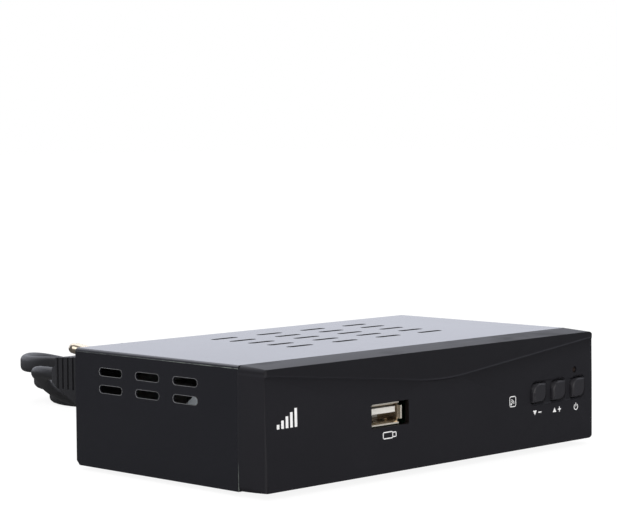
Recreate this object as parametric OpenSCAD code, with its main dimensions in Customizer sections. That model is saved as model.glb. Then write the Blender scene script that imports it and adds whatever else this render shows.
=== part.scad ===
// Digital television receiver: a folded sheet case with a moulded front panel,
// three sprung keys, a front memory port, rear sockets and a fixed mains lead.
// Millimetres. +X is the viewer's right, -Y is the front and +Z is up.
// The origin is at the bottom centre of the receiver, measured without its cord.

/* [Case] */
// Width of the case
case_w = 160; // [156:1:176]
// Height of the case above its feet
case_h = 38.8; // [37:0.2:44]
// Depth of the sheet metal behind the front panel
metal_d = 78.5; // [78:0.5:100]
// Thickness of the cover and chassis sheet
sheet_t = 0.8; // [0.6:0.1:1]
// Outside radius of the cover's folds
fold_r = 1.2; // [1.1:0.1:2]
// Height of the stick-on feet
foot_h = 1.5; // [1:0.1:3]
// Diameter of the stick-on feet
foot_dia = 10; // [8:0.5:14]

/* [Vents] */
// Length of a vent slot
slot_len = 11.6; // [9:0.2:13]
// Width of a vent slot
slot_w = 2.7; // [2:0.1:3]
// Slots across the top
top_cols = 4; // [3:1:5]
// Rows of slots on the top
top_rows = 5; // [3:1:6]
// Slots along each side
side_cols = 3; // [2:1:3]

/* [Front panel] */
// Depth of the moulded panel, from its face to the seam
panel_d = 12.1; // [11:0.1:13]
// Thickness of the panel's walls
panel_wall = 2; // [1.8:0.1:2.2]
// Rounding of the panel's front corners
panel_r = 1.2; // [0.8:0.1:1.6]
// Radius of the panel's corners, seen from the front
panel_corner = 1.8; // [1.2:0.1:2.2]
// How far the panel's top edge falls towards the face
top_fall = 0.5; // [0.2:0.1:0.8]
// How far the panel's bottom edge rises towards the face
bottom_rise = 0.7; // [0.3:0.1:1]
// Height of the crease where its two arms would meet
crease_z = 28.1; // [26.5:0.1:29]
// Rise of each arm of the crease for each millimetre across
crease_slope = 0.104; // [0.06:0.002:0.11]
// Radius of the bow between the two arms
crease_r = 120; // [60:5:200]
// Depth of the scoop for each millimetre above the bottom edge
scoop_slope = 0.02; // [0.01:0.002:0.024]

/* [Keys and port] */
// Width and height of a key
key_size = 6.6; // [6.2:0.1:7]
// Distance between neighbouring keys
key_pitch = 10.7; // [10.4:0.1:11]
// Distance from the right side of the case to the right key
key_inset = 8.8; // [8.6:0.1:9.6]
// Height of the keys above the case's bottom
key_z = 19.2; // [18:0.1:20.5]
// How far the keys stand in front of the panel's face
key_proud = 0.6; // [0.3:0.1:1.2]
// Travel of a key
key_travel = 0.5; // [0.3:0.05:0.6]
// Clearance around a key
key_gap = 0.4; // [0.3:0.05:0.5]
// Centre of the memory port, from the middle of the panel
port_x = -25.2; // [-27:0.1:-22]
// Height of the memory port above the case's bottom
port_z = 19.4; // [18.5:0.1:20.5]

/* [Rear] */
// Length of the aerial plug behind the rear panel
rear_out = 11; // [10:0.5:13]
// Length of the moulded bend relief
relief_len = 22; // [18:1:28]
// Height of the mains entry above the case's bottom
relief_z = 25.2; // [24:0.2:26]

/* [Cord] */
// Width of the flat cord
cord_w = 6.6; // [6:0.1:6.8]
// Thickness of the flat cord
cord_t = 4; // [3.4:0.1:4.2]

/* [Hidden] */
$fn = 48;
eps = 0.01;

// Planes of the case
depth_all = key_proud + panel_d + metal_d + rear_out;
y_front = key_proud - depth_all / 2;
y_seam = y_front + panel_d;
y_rear = y_seam + metal_d;
base_z = foot_h;
top_z = base_z + case_h;
half_w = case_w / 2;
// Clearance between the cover and what slides inside it
slip = 0.2;
inner_w = case_w - 2 * (sheet_t + slip);
flange_h = 8;

// Top slots: pitches as on the photographed cover, the field moved right of the middle
top_pitch_x = case_w * 0.1335;
top_pitch_y = metal_d * 0.117;
top_field_x = case_w * 0.034;
top_field_y = y_seam + metal_d * 0.58;
side_pitch = metal_d * 0.231;
side_field_y = y_seam + metal_d * 0.54;
side_rows_z = [case_h - 12.55, case_h - 6.9];
base_pitch = 24;

// Boards and what stands on them
pillar_h = 8;
board_t = 1.6;
board_z = base_z + sheet_t + pillar_h;
board_top = board_z + board_t;
board_y0 = y_seam + 7;
board_y1 = y_rear - sheet_t - 0.8;
front_y = y_front + 15.5;
front_x = [-42, half_w - 3];
front_z = [base_z + 9, base_z + 32];
front_bosses = [[-37, 13], [20, 13], [half_w - 21, 29.3]];
screw_r = 1.4;
screw_head_r = 2.75;

// Keys
key_x = [for (i = [0:2]) half_w - key_inset + (i - 2) * key_pitch];
key_round = 2.2;
key_sharp = 0.5;
key_edge = 0.5;
key_sink = 0.5;
sink_depth = 0.8;
key_flange = [key_size, key_size + 2.2, 1];
key_rest = 0.1;
flange_y = y_front + panel_wall + key_rest;
switch_size = 6;
switch_h = 3.5;
plunger_h = 1.5;
plunger_r = 1.7;
plunger_gap = 0.08;
rail_d = 4;
light_x = half_w - 10;
light_z = 25.5;
light_r = 0.9;
eye_x = 36.1;
eye_z = 17.5;

// Memory port
port_hole = [16.3, 7.8];
port_shell_w = 13.2;
port_shell_h = 5.8;
port_flare = 0.65;
port_flare_d = 1.2;
port_in = 1.7;
port_t = 0.35;
tongue_h = 1.84;
tongue_up = 1;

// Rear sockets: from the right, the television, the picture and the aerial sockets
tv_w = 47;
tv_h = 15.6;
tv_d = 15;
tv_out = 1;
tv_rows = 10;
tv_pitch = 3.81;
tv_row_z = 2.4;
av_w = 15;
av_h = 5.6;
av_d = 11.5;
av_out = 0.6;
tuner_w = 30;
tv_x = half_w - 7.5 - tv_w / 2;
av_x = tv_x - tv_w / 2 - 4 - av_w / 2;
tuner_x = av_x - av_w / 2 - 5.5 - tuner_w / 2;
tuner_d = 38;
tuner_h = 16;
aerial_dx = 7.5;
aerial_z = board_top + 9.8;
aerial_r = 5.8;
aerial_bore = 4.8;
loop_r = 4.76;
loop_bore = 4.15;
loop_collar = 5.25;

// Widths of the two boards
main_x = [tuner_x - tuner_w / 2 - 1, half_w - 4];
power_x = [-half_w + 4, main_x[0] - 4];

// Mains entry
relief_x = -half_w + 11;
relief_zz = base_z + relief_z;
relief_hole = 5.2;
relief_root = [11, 20];
relief_end = [9, 10];
relief_nose = [7.4, 4.8];
relief_nose_len = 3.2;
relief_rise = 3.5;
relief_grooves = 6;
relief_pitch = 2.9;
relief_groove_w = 0.9;
relief_groove_d = 1.1;
// The cord leaves the nose a little below the middle of the relief's end
cord_rise = 2.1;
cord_z = relief_zz + cord_rise;

// Cord: places are [right, back, height share], measured from the end of the bend relief.
// A height share of 1 is the height of the relief's nose, and 0 is the cord lying on the floor.
cord_exit = [relief_x, y_rear + relief_len];
lead_route = [
  [0, 0, 1], [0, 6, 1], [2, 13.5, 0.96], [8, 21, 0.86], [16, 27.5, 0.72], [26, 33, 0.57],
  [38, 37.5, 0.41], [52, 41.5, 0.24], [66, 44.5, 0.09], [80, 46, 0.01], [94, 46, 0],
  [108, 46.5, 0], [123, 50, 0], [136, 56, 0], [148, 64, 0.01], [158.5, 71.5, 0.03],
  [168, 76, 0.04]
];
// The tail lies round on top of the hank once more before it goes down to the plug
tail_route = [
  [197.5, 79, 0.39], [209, 89, 0.52], [213.5, 103.5, 0.59], [209.5, 117.5, 0.592],
  [200, 127.5, 0.592], [188.5, 131.5, 0.592], [173, 131, 0.592], [161, 127, 0.61],
  [151, 122.5, 0.627], [143, 121, 0.63], [135, 122.5, 0.627], [125, 127, 0.61],
  [113, 131.5, 0.592], [96.5, 131.5, 0.59], [84.5, 126, 0.59], [76.5, 115, 0.59],
  [75.5, 101.5, 0.59], [81.5, 89.5, 0.588], [91.5, 83, 0.585], [103, 81, 0.585],
  [114, 80.5, 0.59], [124, 77.5, 0.575], [133, 72.5, 0.5], [142, 66.5, 0.39],
  [151, 59.5, 0.26], [160, 51.5, 0.12], [167.5, 42.5, 0.02], [170, 32.5, 0],
  [165.5, 24, 0], [156, 20, 0], [144, 20, 0], [133, 21.5, 0.01], [125, 24.5, 0.075],
  [115.5, 31, 0.19]
];

// Hank: a racetrack of loops in two layers, drawn in at the waist
hank_run = 84;
hank_mid = [143, 106];
hank_in_r = 20.4;
hank_step = 5.8;
hank_lift = 1;
hank_layer = cord_w + 0.5;
hank_waist = 11;
hank_from = 0.229;
hank_to = 3.229;
hank_turn = 1.625;
hank_steps = 24;
tie_t = 0.8;
tie_w = 5;

// Plug
plug_len = 35;
plug_face = [35.3, 13.7];
plug_tail = [13, 10];
plug_pitch = 16;
plug_yaw = 135;
plug_roll = 6;
plug_gauge = 19;
pin_r = 2;
pin_len = 19;
sleeve_len = 10;
sleeve_r = 1.9;
shank_r = 1.5;

// Plain shapes

module stadium(length, width) {
  square([length - width, width], center = true);
  for (s = [-1, 1])
    translate([s * (length - width) / 2, 0])
      circle(d = width);
}

module round_square(width, height, r) {
  square([width - 2 * r, height], center = true);
  square([width, height - 2 * r], center = true);
  for (sx = [-1, 1], sy = [-1, 1])
    translate([sx * (width / 2 - r), sy * (height / 2 - r)])
      circle(r);
}

// A flat-topped arch standing on the axis, with round upper corners
module arch(width, height, r) {
  translate([-width / 2, 0])
    square([width, height - r]);
  translate([-width / 2 + r, 0])
    square([width - 2 * r, height]);
  for (s = [-1, 1])
    translate([s * (width / 2 - r), height - r])
      circle(r);
}

// Draws a front view (X across, Z up) and runs it back along +Y
module run_back(y, length) {
  translate([0, y + length, 0])
    rotate([90, 0, 0])
      linear_extrude(length)
        children();
}

// Draws a side view (Y across, Z up) and runs it along +X
module run_right(x, length) {
  translate([x, 0, 0])
    rotate([90, 0, 90])
      linear_extrude(length)
        children();
}

module box(x, y, z) {
  translate([x[0], y[0], z[0]])
    cube([x[1] - x[0], y[1] - y[0], z[1] - z[0]]);
}

// A round bar along +Y
module bar(p, r, length) {
  translate(p)
    rotate([-90, 0, 0])
      cylinder(r = r, h = length);
}

module ring_bar(p, r, bore, length) {
  difference() {
    bar(p, r, length);
    bar(p - [0, 1, 0], bore, length + 2);
  }
}

// Case

module top_slots() {
  for (i = [0:top_cols - 1], j = [0:top_rows - 1])
    translate([
      top_field_x + (i - (top_cols - 1) / 2) * top_pitch_x,
      top_field_y + (j - (top_rows - 1) / 2) * top_pitch_y
    ])
      stadium(slot_len, slot_w);
}

module side_slots() {
  for (i = [0:side_cols - 1], z = side_rows_z)
    translate([side_field_y + (i - (side_cols - 1) / 2) * side_pitch, base_z + z])
      stadium(slot_len, slot_w);
}

screw_x = [-half_w + 30, half_w - 8];
screw_z = top_z - 6;

module cover() {
  color([0.09, 0.09, 0.1])
    difference() {
      union() {
        run_back(y_seam, metal_d)
          translate([0, base_z])
            difference() {
              arch(case_w, case_h, fold_r);
              translate([0, -1])
                arch(case_w - 2 * sheet_t, case_h - sheet_t + 1, fold_r - sheet_t + 0.1);
            }
        // Two tabs folded down behind the rear panel take the rear screws
        for (x = screw_x)
          box([x - 5, x + 5], [y_rear - 2 * sheet_t, y_rear - sheet_t], [screw_z - 5, top_z - sheet_t + eps]);
      }
      translate([0, 0, top_z - 5])
        linear_extrude(10)
          top_slots();
      run_right(-half_w - 1, case_w + 2)
        side_slots();
      for (x = screw_x)
        bar([x, y_rear - 5, screw_z], screw_r + 0.05, 10);
      // Clipped lower rear corners of both sides
      run_right(-half_w - 1, case_w + 2)
        polygon([
          [y_rear - 1.5, base_z - eps], [y_rear + 1, base_z - eps],
          [y_rear + 1, base_z + 1.5], [y_rear, base_z + 1.5]
        ]);
    }
}

module rear_openings() {
  translate([tv_x, board_top + tv_h / 2])
    square([tv_w + 0.4, tv_h + 0.4], center = true);
  translate([av_x, board_top + av_h / 2])
    square([av_w + 0.4, av_h + 0.4], center = true);
  translate([tuner_x + aerial_dx, aerial_z])
    circle(aerial_r + 0.2);
  translate([tuner_x - aerial_dx, aerial_z])
    circle(loop_collar + 0.2);
  translate([relief_x, relief_zz])
    circle(relief_hole);
  for (x = screw_x)
    translate([x, screw_z])
      circle(screw_r + 0.2);
}

module chassis() {
  color([0.62, 0.63, 0.64])
    difference() {
      union() {
        box([-inner_w / 2, inner_w / 2], [y_seam, y_rear], [base_z, base_z + sheet_t]);
        for (s = [-1, 1])
          translate([s * (inner_w - sheet_t) / 2, 0, 0])
            box([-sheet_t / 2, sheet_t / 2], [y_seam + 5, y_rear], [base_z, base_z + flange_h]);
        box([-inner_w / 2, inner_w / 2], [y_rear - sheet_t, y_rear], [base_z, top_z - sheet_t - slip]);
        box([-inner_w / 2, inner_w / 2], [y_seam, y_seam + sheet_t], [base_z, base_z + flange_h]);
      }
      run_back(y_rear - 5, 10)
        rear_openings();
      // Windows for the panel's two hooks
      for (s = [-1, 1])
        box([s * 40 - 4.5, s * 40 + 4.5], [y_seam - 1, y_seam + 2], [base_z + 3.7, base_z + 6.7]);
      // Vents in the floor of the tray
      for (i = [-2:2], j = [-1:1])
        translate([i * base_pitch, y_seam + metal_d / 2 + j * 14, base_z - 1])
          linear_extrude(3)
            stadium(slot_len, slot_w);
    }
}

module foot(x, y) {
  color([0.06, 0.06, 0.06])
    translate([x, y, 0])
      cylinder(d = foot_dia, h = foot_h);
}

foot_x = half_w - 18;
foot_y = [y_seam + 10, y_rear - 14];
module foot_front_left() foot(-foot_x, foot_y[0]);
module foot_front_right() foot(foot_x, foot_y[0]);
module foot_rear_left() foot(-foot_x, foot_y[1]);
module foot_rear_right() foot(foot_x, foot_y[1]);

module case_screws() {
  color([0.7, 0.7, 0.7])
    for (x = screw_x) {
      bar([x, y_rear - 6, screw_z], screw_r, 6 + eps);
      difference() {
        bar([x, y_rear, screw_z], screw_head_r, 1.8);
        for (a = [0, 90])
          translate([x, y_rear + 1.8, screw_z])
            rotate([0, a, 0])
              cube([3.4, 2, 0.8], center = true);
      }
    }
}

// Front panel, the piece that takes the most skill

// Everything below the crease, in a front view whose zero is the crease's sharp corner
module below_crease(k) {
  arm = atan(crease_slope * k);
  reach = crease_r * sin(arm);
  difference() {
    polygon([
      [-case_w, -case_h], [-case_w, case_w * crease_slope * k],
      [-reach, reach * crease_slope * k], [reach, reach * crease_slope * k],
      [case_w, case_w * crease_slope * k], [case_w, -case_h]
    ]);
    translate([0, crease_r / cos(arm)])
      circle(crease_r, $fn = 96);
  }
}

// The scoop: a plane that leans back from the bottom edge, stopped by a sloping ledge at the crease
module scoop() {
  ledge = 45;
  rise = case_h * 1.2;
  intersection() {
    run_right(-case_w, 2 * case_w)
      polygon([
        [y_front, base_z + bottom_rise], [y_front + rise * scoop_slope, base_z + bottom_rise + rise],
        [y_front - 5, base_z + bottom_rise + rise], [y_front - 5, base_z + bottom_rise]
      ]);
    translate([0, y_front, base_z + crease_z])
      rotate([-ledge, 0, 0])
        run_back(-12, 12 + case_h)
          below_crease(cos(ledge));
  }
}

// Outline of a key: large corners at the upper left and the lower right, small ones at the others
module leaf(grow) {
  half = key_size / 2 + grow;
  difference() {
    square(2 * half, center = true);
    for (s = [-1, 1]) {
      corner_cut(s * half, -s * half, key_round + grow);
      corner_cut(s * half, s * half, key_sharp + grow);
    }
  }
}
module corner_cut(x, z, r) {
  translate([x, z])
    difference() {
      square(2 * r, center = true);
      translate([-sign(x) * r, -sign(z) * r])
        circle(r);
    }
}

// Outside of the panel: a front view, a side view and a plan, each run through the others
module panel_outside() {
  intersection() {
    run_back(y_front, panel_d)
      translate([0, base_z + case_h / 2])
        round_square(case_w, case_h, panel_corner);
    run_right(-half_w, case_w)
      polygon([
        [y_seam, base_z], [y_front, base_z + bottom_rise],
        [y_front, top_z - top_fall], [y_seam, top_z]
      ]);
    translate([0, 0, base_z])
      linear_extrude(case_h) {
        translate([-half_w, y_front + panel_r])
          square([case_w, panel_d - panel_r]);
        translate([-half_w + panel_r, y_front])
          square([case_w - 2 * panel_r, panel_d]);
        for (s = [-1, 1])
          translate([s * (half_w - panel_r), y_front + panel_r])
            circle(panel_r);
      }
  }
}

module panel_lips() {
  lip_t = 1.2;
  lip_w = inner_w;
  lip_top = top_z - sheet_t - slip;
  y = [y_seam - 4, y_seam + 3];
  box([-lip_w / 2, lip_w / 2], y, [lip_top - lip_t, lip_top]);
  for (s = [-1, 1])
    translate([s * (lip_w - lip_t) / 2, 0, 0])
      box([-lip_t / 2, lip_t / 2], y, [base_z + flange_h + 1, lip_top]);
}

module panel_hooks() {
  for (s = [-1, 1]) {
    box([s * 40 - 4, s * 40 + 4], [y_front + panel_wall - eps, y_seam + 2.4], [base_z + 4, base_z + 5.8]);
    box([s * 40 - 4, s * 40 + 4], [y_seam + sheet_t, y_seam + 2.4], [base_z + 4, base_z + 6.4]);
  }
}

// Rails above and below the keys steer their flanges
module key_rails() {
  rail_t = 1.2;
  x = [key_x[0] - key_size / 2 - 2, key_x[2] + key_size / 2 + 1];
  y = [y_front + panel_wall - eps, y_front + panel_wall + rail_d];
  difference() {
    for (s = [-1, 1])
      translate([0, 0, base_z + key_z + s * (key_flange[1] / 2 + 0.3 + rail_t / 2)])
        box(x, y, [-rail_t / 2, rail_t / 2]);
    // Room for the light pipe
    box([light_x - 1.6, light_x + 1.6], [y_front + panel_wall, y[1] + 1], [base_z + key_z, top_z]);
  }
}

module front_panel() {
  color([0.1, 0.1, 0.11])
    difference() {
      union() {
        difference() {
          panel_outside();
          box([-half_w + panel_wall, half_w - panel_wall], [y_front + panel_wall, y_seam + 1],
              [base_z + bottom_rise + panel_wall, top_z - top_fall - panel_wall]);
        }
        panel_lips();
        panel_hooks();
        key_rails();
        for (p = front_bosses)
          ring_bar([p[0], y_front + panel_wall - eps, base_z + p[1]], 3, 1.2,
                   front_y - y_front - panel_wall + eps);
      }
      scoop();
      run_back(y_front - 2, panel_wall + 3)
        translate([0, base_z])
          panel_openings();
      for (x = key_x)
        translate([x, 0, base_z + key_z])
          run_back(y_front - 2, 2 + sink_depth)
            leaf(key_gap + key_sink);
    }
}

module panel_openings() {
  translate([port_x, port_z])
    round_square(port_hole[0], port_hole[1], 0.8);
  for (x = key_x)
    translate([x, key_z])
      leaf(key_gap);
  translate([light_x, light_z])
    circle(light_r);
}

module panel_screws() {
  color([0.7, 0.7, 0.7])
    for (p = front_bosses) {
      bar([p[0], front_y - 6, base_z + p[1]], 1.1, 6 + board_t + eps);
      bar([p[0], front_y + board_t, base_z + p[1]], 2.4, 1.6);
    }
}

// Keys: a cap with bevelled edges, a flange behind the panel and a stem to the switch

// A bar across a cap, bevelled along its two front edges
module bevelled(y) {
  half = key_size / 2;
  run_right(-key_size, 2 * key_size)
    polygon([
      [y, key_edge - half], [y + key_edge, -half], [flange_y + 1, -half],
      [flange_y + 1, half], [y + key_edge, half], [y, half - key_edge]
    ]);
}

module key(i) {
  y0 = y_front - key_proud;
  stem_y = flange_y + key_flange[2];
  plunger_y = front_y - switch_h - plunger_h;
  color([0.16, 0.16, 0.17])
    translate([key_x[i], 0, base_z + key_z]) {
      intersection() {
        run_back(y0, flange_y - y0 + eps)
          leaf(0);
        bevelled(y0);
        rotate([0, 90, 0])
          bevelled(y0);
      }
      box([-key_flange[0] / 2, key_flange[0] / 2], [flange_y, stem_y],
          [-key_flange[1] / 2, key_flange[1] / 2]);
      bar([0, stem_y - eps, 0], 2.2, plunger_y - stem_y + eps);
      for (a = [0, 90])
        rotate([0, a, 0])
          box([-3.2, 3.2], [stem_y - eps, stem_y + 4], [-0.5, 0.5]);
    }
}

module key_down() key(0);
module key_up() key(1);
module key_power() key(2);

module plunger(i) {
  color([0.75, 0.7, 0.6])
    bar([key_x[i], front_y - switch_h - plunger_h, base_z + key_z], plunger_r, plunger_h + 1);
}

module plunger_down() plunger(0);
module plunger_up() plunger(1);
module plunger_power() plunger(2);

module switch(i) {
  color([0.12, 0.12, 0.12])
    difference() {
      translate([key_x[i], 0, base_z + key_z])
        box([-switch_size / 2, switch_size / 2], [front_y - switch_h, front_y],
            [-switch_size / 2, switch_size / 2]);
      bar([key_x[i], front_y - switch_h - 1, base_z + key_z], plunger_r + plunger_gap,
          1 + 1 + key_travel + 0.3);
    }
}

module switch_down() switch(0);
module switch_up() switch(1);
module switch_power() switch(2);

module front_board() {
  color([0.1, 0.3, 0.16])
    difference() {
      box(front_x, [front_y, front_y + board_t], front_z);
      for (p = front_bosses)
        bar([p[0], front_y - 1, base_z + p[1]], 1.3, board_t + 2);
    }
}

// Light pipe from the panel to a lamp on the board
module standby_light() {
  collar_y = y_front + panel_wall + rail_d + 1;
  color([0.8, 0.75, 0.7]) {
    bar([light_x, y_front + 0.8, base_z + light_z], light_r - 0.1, collar_y - y_front);
    bar([light_x, collar_y, base_z + light_z], 1.5, front_y - collar_y);
  }
}

// Remote control eye behind the panel
module eye() {
  color([0.08, 0.07, 0.08]) {
    translate([eye_x, 0, base_z + eye_z])
      box([-2.8, 2.8], [front_y - 4, front_y], [-3.4, 3.4]);
    bar([eye_x, front_y - 5.5, base_z + eye_z], 2, 1.5 + eps);
    translate([eye_x, front_y - 5.5, base_z + eye_z])
      sphere(2);
  }
}

// Memory port

port_y = y_front + port_in;
module port_section(grow) {
  square([port_shell_w + 2 * grow, port_shell_h + 2 * grow], center = true);
}

module port_shell() {
  length = front_y - port_y;
  flare = (port_shell_w + 2 * port_flare) / port_shell_w;
  flare_v = (port_shell_h + 2 * port_flare) / port_shell_h;
  color([0.8, 0.76, 0.68])
    translate([port_x, 0, base_z + port_z]) {
      difference() {
        union() {
          run_back(port_y + port_flare_d, length - port_flare_d)
            port_section(0);
          translate([0, port_y + port_flare_d, 0])
            rotate([90, 0, 0])
              linear_extrude(port_flare_d, scale = [flare, flare_v], slices = 1)
                port_section(0);
        }
        run_back(port_y + port_flare_d - eps, length + 1)
          port_section(-port_t);
        translate([0, port_y + port_flare_d, 0])
          rotate([90, 0, 0])
            linear_extrude(port_flare_d + eps, scale = [flare, flare_v], slices = 1)
              port_section(-port_t);
        // Two windows in the floor and the roof, where spring fingers bend in
        for (x = [-3.1, 3.1])
          translate([x, port_y + 5.6, 0])
            cube([2.6, 6, 2 * port_shell_h], center = true);
      }
      for (x = [-3.1, 3.1], s = [-1, 1])
        translate([x, port_y + 8.6 + eps, s * (port_shell_h - port_t) / 2])
          rotate([s * 5, 0, 0])
            translate([-0.9, -5, -port_t / 2])
              cube([1.8, 5, port_t]);
    }
}

tongue_y = port_y + 1.4;
module port_tongue() {
  color([0.92, 0.92, 0.9])
    translate([port_x, 0, base_z + port_z]) {
      box([-5.55, 5.55], [tongue_y, port_y + 10], [tongue_up - tongue_h / 2, tongue_up + tongue_h / 2]);
      box([-port_shell_w / 2 + port_t + 0.1, port_shell_w / 2 - port_t - 0.1], [port_y + 9.8, front_y],
          [-port_shell_h / 2 + port_t + 0.1, port_shell_h / 2 - port_t - 0.1]);
    }
}

module port_contacts() {
  color([0.85, 0.72, 0.4])
    for (i = [-1.5:1:1.5])
      translate([port_x + i * 2.3, 0, base_z + port_z + tongue_up - tongue_h / 2])
        box([-0.5, 0.5], [tongue_y + 0.8, port_y + 9.8], [-0.2, 0]);
}

// Boards

main_holes = [
  [main_x[0] + 4, board_y0 + 4], [main_x[1] - 4, board_y0 + 4],
  [main_x[0] + 4, board_y1 - tuner_d - 5], [main_x[1] - 4, board_y1 - tv_d - 5]
];
power_holes = [
  [power_x[0] + 4, board_y0 + 4], [power_x[1] - 4, board_y0 + 4],
  [power_x[0] + 14, board_y1 - 5], [power_x[0] + 28, board_y1 - 5]
];

module board(x, holes) {
  color([0.1, 0.3, 0.16])
    difference() {
      box(x, [board_y0, board_y1], [board_z, board_top]);
      for (p = holes)
        translate([p[0], p[1], board_z - 1])
          cylinder(r = screw_r + 0.1, h = board_t + 2);
    }
}

module main_board() board(main_x, main_holes);
module power_board() board(power_x, power_holes);

module pillars() {
  color([0.75, 0.72, 0.6])
    for (p = concat(main_holes, power_holes))
      translate([p[0], p[1], base_z + sheet_t])
        difference() {
          cylinder(r = 3, h = pillar_h, $fn = 6);
          translate([0, 0, 1])
            cylinder(r = screw_r + 0.05, h = pillar_h);
        }
}

module board_screws() {
  color([0.7, 0.7, 0.7])
    for (p = concat(main_holes, power_holes))
      translate([p[0], p[1], board_top]) {
        cylinder(r = screw_head_r, h = 1.8);
        translate([0, 0, -5])
          cylinder(r = screw_r, h = 5 + eps);
      }
}

// Ribbon that joins the front board to the main board
module board_link() {
  t = 1;
  y = front_y + board_t;
  y2 = board_y0 + 6;
  z = board_top + 6;
  color([0.8, 0.8, 0.78])
    run_right(-6, 12)
      polygon([[y, z], [y2, z], [y2, board_top], [y2 + t, board_top], [y2 + t, z + t], [y, z + t]]);
}

chip_at = [16, board_y0 + 26];
chip_size = 20;
chip_t = 1.6;
sink_size = 24;
sink_base = 1.6;
fin_h = 7;
fin_t = 1;
module main_chip() {
  color([0.08, 0.08, 0.08])
    translate([chip_at[0] - chip_size / 2, chip_at[1] - chip_size / 2, board_top])
      cube([chip_size, chip_size, chip_t]);
}

module heat_sink() {
  fins = 8;
  color([0.7, 0.72, 0.76])
    translate([chip_at[0] - sink_size / 2, chip_at[1] - sink_size / 2, board_top + chip_t]) {
      cube([sink_size, sink_size, sink_base]);
      for (i = [0:fins - 1])
        translate([i * (sink_size - fin_t) / (fins - 1), 0, sink_base - eps])
          cube([fin_t, sink_size, fin_h]);
    }
}

// Power parts

module capacitor(x, y, r, h) {
  color([0.2, 0.3, 0.5])
    translate([x, y, board_top])
      difference() {
        cylinder(r = r, h = h);
        // Rolled groove near the foot and the recessed, scored lid
        translate([0, 0, 1.8])
          rotate_extrude()
            translate([r + 0.4, 0])
              circle(0.8);
        translate([0, 0, h - 0.3])
          cylinder(r = r - 1, h = 1);
        for (a = [0, 90])
          rotate([0, 0, a])
            translate([-r * 0.6, -0.3, h - 0.6])
              cube([r * 1.2, 0.6, 1]);
      }
}

main_can = [8, 17];
small_can = [4, 13];
small_can_x = power_x[1] - small_can[0] - 4;
small_can_y = board_y0 + 15;
module main_capacitor() capacitor(power_x[0] + 5 + main_can[0], y_seam + 31, main_can[0], main_can[1]);
module output_capacitor_1() capacitor(small_can_x, small_can_y, small_can[0], small_can[1]);
module output_capacitor_2()
  capacitor(small_can_x, small_can_y + 3 * small_can[0] - 1, small_can[0], small_can[1]);

core = [22, 12, 17];
core_at = [power_x[1] - 2 - core[0] / 2, board_y1 - 25, board_top];
module transformer_core() {
  leg = 4.5;
  color([0.2, 0.19, 0.19])
    translate(core_at)
      difference() {
        translate([-core[0] / 2, -core[1] / 2, 0])
          cube([core[0], core[1], core[2]]);
        for (s = [-1, 1])
          translate([s * (core[0] / 2 - leg - 1.75), 0, core[2] / 2])
            cube([3.5, 2 * core[1], core[2] - 2 * leg], center = true);
      }
}

// Winding around the middle leg, with its flanges front and back
module transformer_coil() {
  leg = 4.5;
  mid = core[0] - 2 * leg - 7;
  hole_h = core[2] - 2 * leg;
  color([0.85, 0.7, 0.25])
    translate(core_at)
      for (s = [-1, 1]) {
        translate([s * (mid / 2 + 1.6), 0, core[2] / 2])
          cube([3, core[1] + 2, hole_h - 0.2], center = true);
        translate([0, s * (core[1] / 2 + 2), core[2] / 2])
          cube([mid + 6.2, 4 - 0.2, hole_h - 0.2], center = true);
      }
}

fuse_cap_r = 2.7;
fuse_cap = 5;
fuse_len = 14;
module fuse() {
  color([0.85, 0.85, 0.82])
    translate([power_x[0] + 5, y_rear - 26, board_top + fuse_cap_r]) {
      bar([0, 0, 0], fuse_cap_r - 0.2, fuse_len);
      for (y = [-fuse_cap, fuse_len - eps])
        bar([0, y, 0], fuse_cap_r, fuse_cap + eps);
    }
}

// Rear sockets

module tuner() {
  y = [board_y1 - tuner_d, board_y1];
  color([0.75, 0.76, 0.78])
    difference() {
      box([tuner_x - tuner_w / 2, tuner_x + tuner_w / 2], y, [board_top, board_top + tuner_h]);
      // Sprung lid: a shallow groove below its rim and a cooling window
      for (s = [-1, 1])
        translate([tuner_x + s * tuner_w / 2, (y[0] + y[1]) / 2, board_top + tuner_h - 2.5])
          cube([0.6, tuner_d - 4, 0.6], center = true);
      translate([tuner_x, (y[0] + y[1]) / 2, board_top + tuner_h])
        cube([tuner_w - 6, tuner_d - 6, 0.6], center = true);
    }
}

aerial_at = [tuner_x + aerial_dx, board_y1, aerial_z];
loop_at = [tuner_x - aerial_dx, board_y1, aerial_z];
disc_t = 2.4;
barrel_y = y_rear - board_y1;

module aerial_socket() {
  color([0.78, 0.78, 0.8])
    ring_bar(aerial_at, aerial_r, aerial_bore, barrel_y + rear_out - 1.5);
}

module aerial_contact() {
  color([0.85, 0.72, 0.4])
    difference() {
      bar(aerial_at, 2.2, barrel_y + rear_out - 3);
      bar(aerial_at + [0, 3, 0], 1.25, 20);
    }
}

module loop_plug() {
  color([0.78, 0.78, 0.8])
    difference() {
      union() {
        bar(loop_at, loop_collar, barrel_y + 1);
        bar(loop_at, loop_r, barrel_y + rear_out);
      }
      bar(loop_at - [0, 1, 0], loop_bore, barrel_y + rear_out + 2);
    }
}

module loop_pin() {
  color([0.85, 0.72, 0.4]) {
    bar(loop_at, 1.2, barrel_y + rear_out - 2.2);
    translate(loop_at + [0, barrel_y + rear_out - 2.2, 0])
      sphere(1.2);
  }
}

module aerial_discs() {
  color([0.9, 0.9, 0.88]) {
    ring_bar(aerial_at, aerial_bore - 0.05, 2.25, disc_t);
    ring_bar(loop_at, loop_bore - 0.05, 1.25, disc_t);
  }
}

module av_section(grow) {
  w = av_w / 2 + grow;
  h = av_h / 2 + grow;
  polygon([[-w, h], [w, h], [w, -h + 2.2], [w - 2, -h], [-w + 2, -h], [-w, -h + 2.2]]);
}

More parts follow.
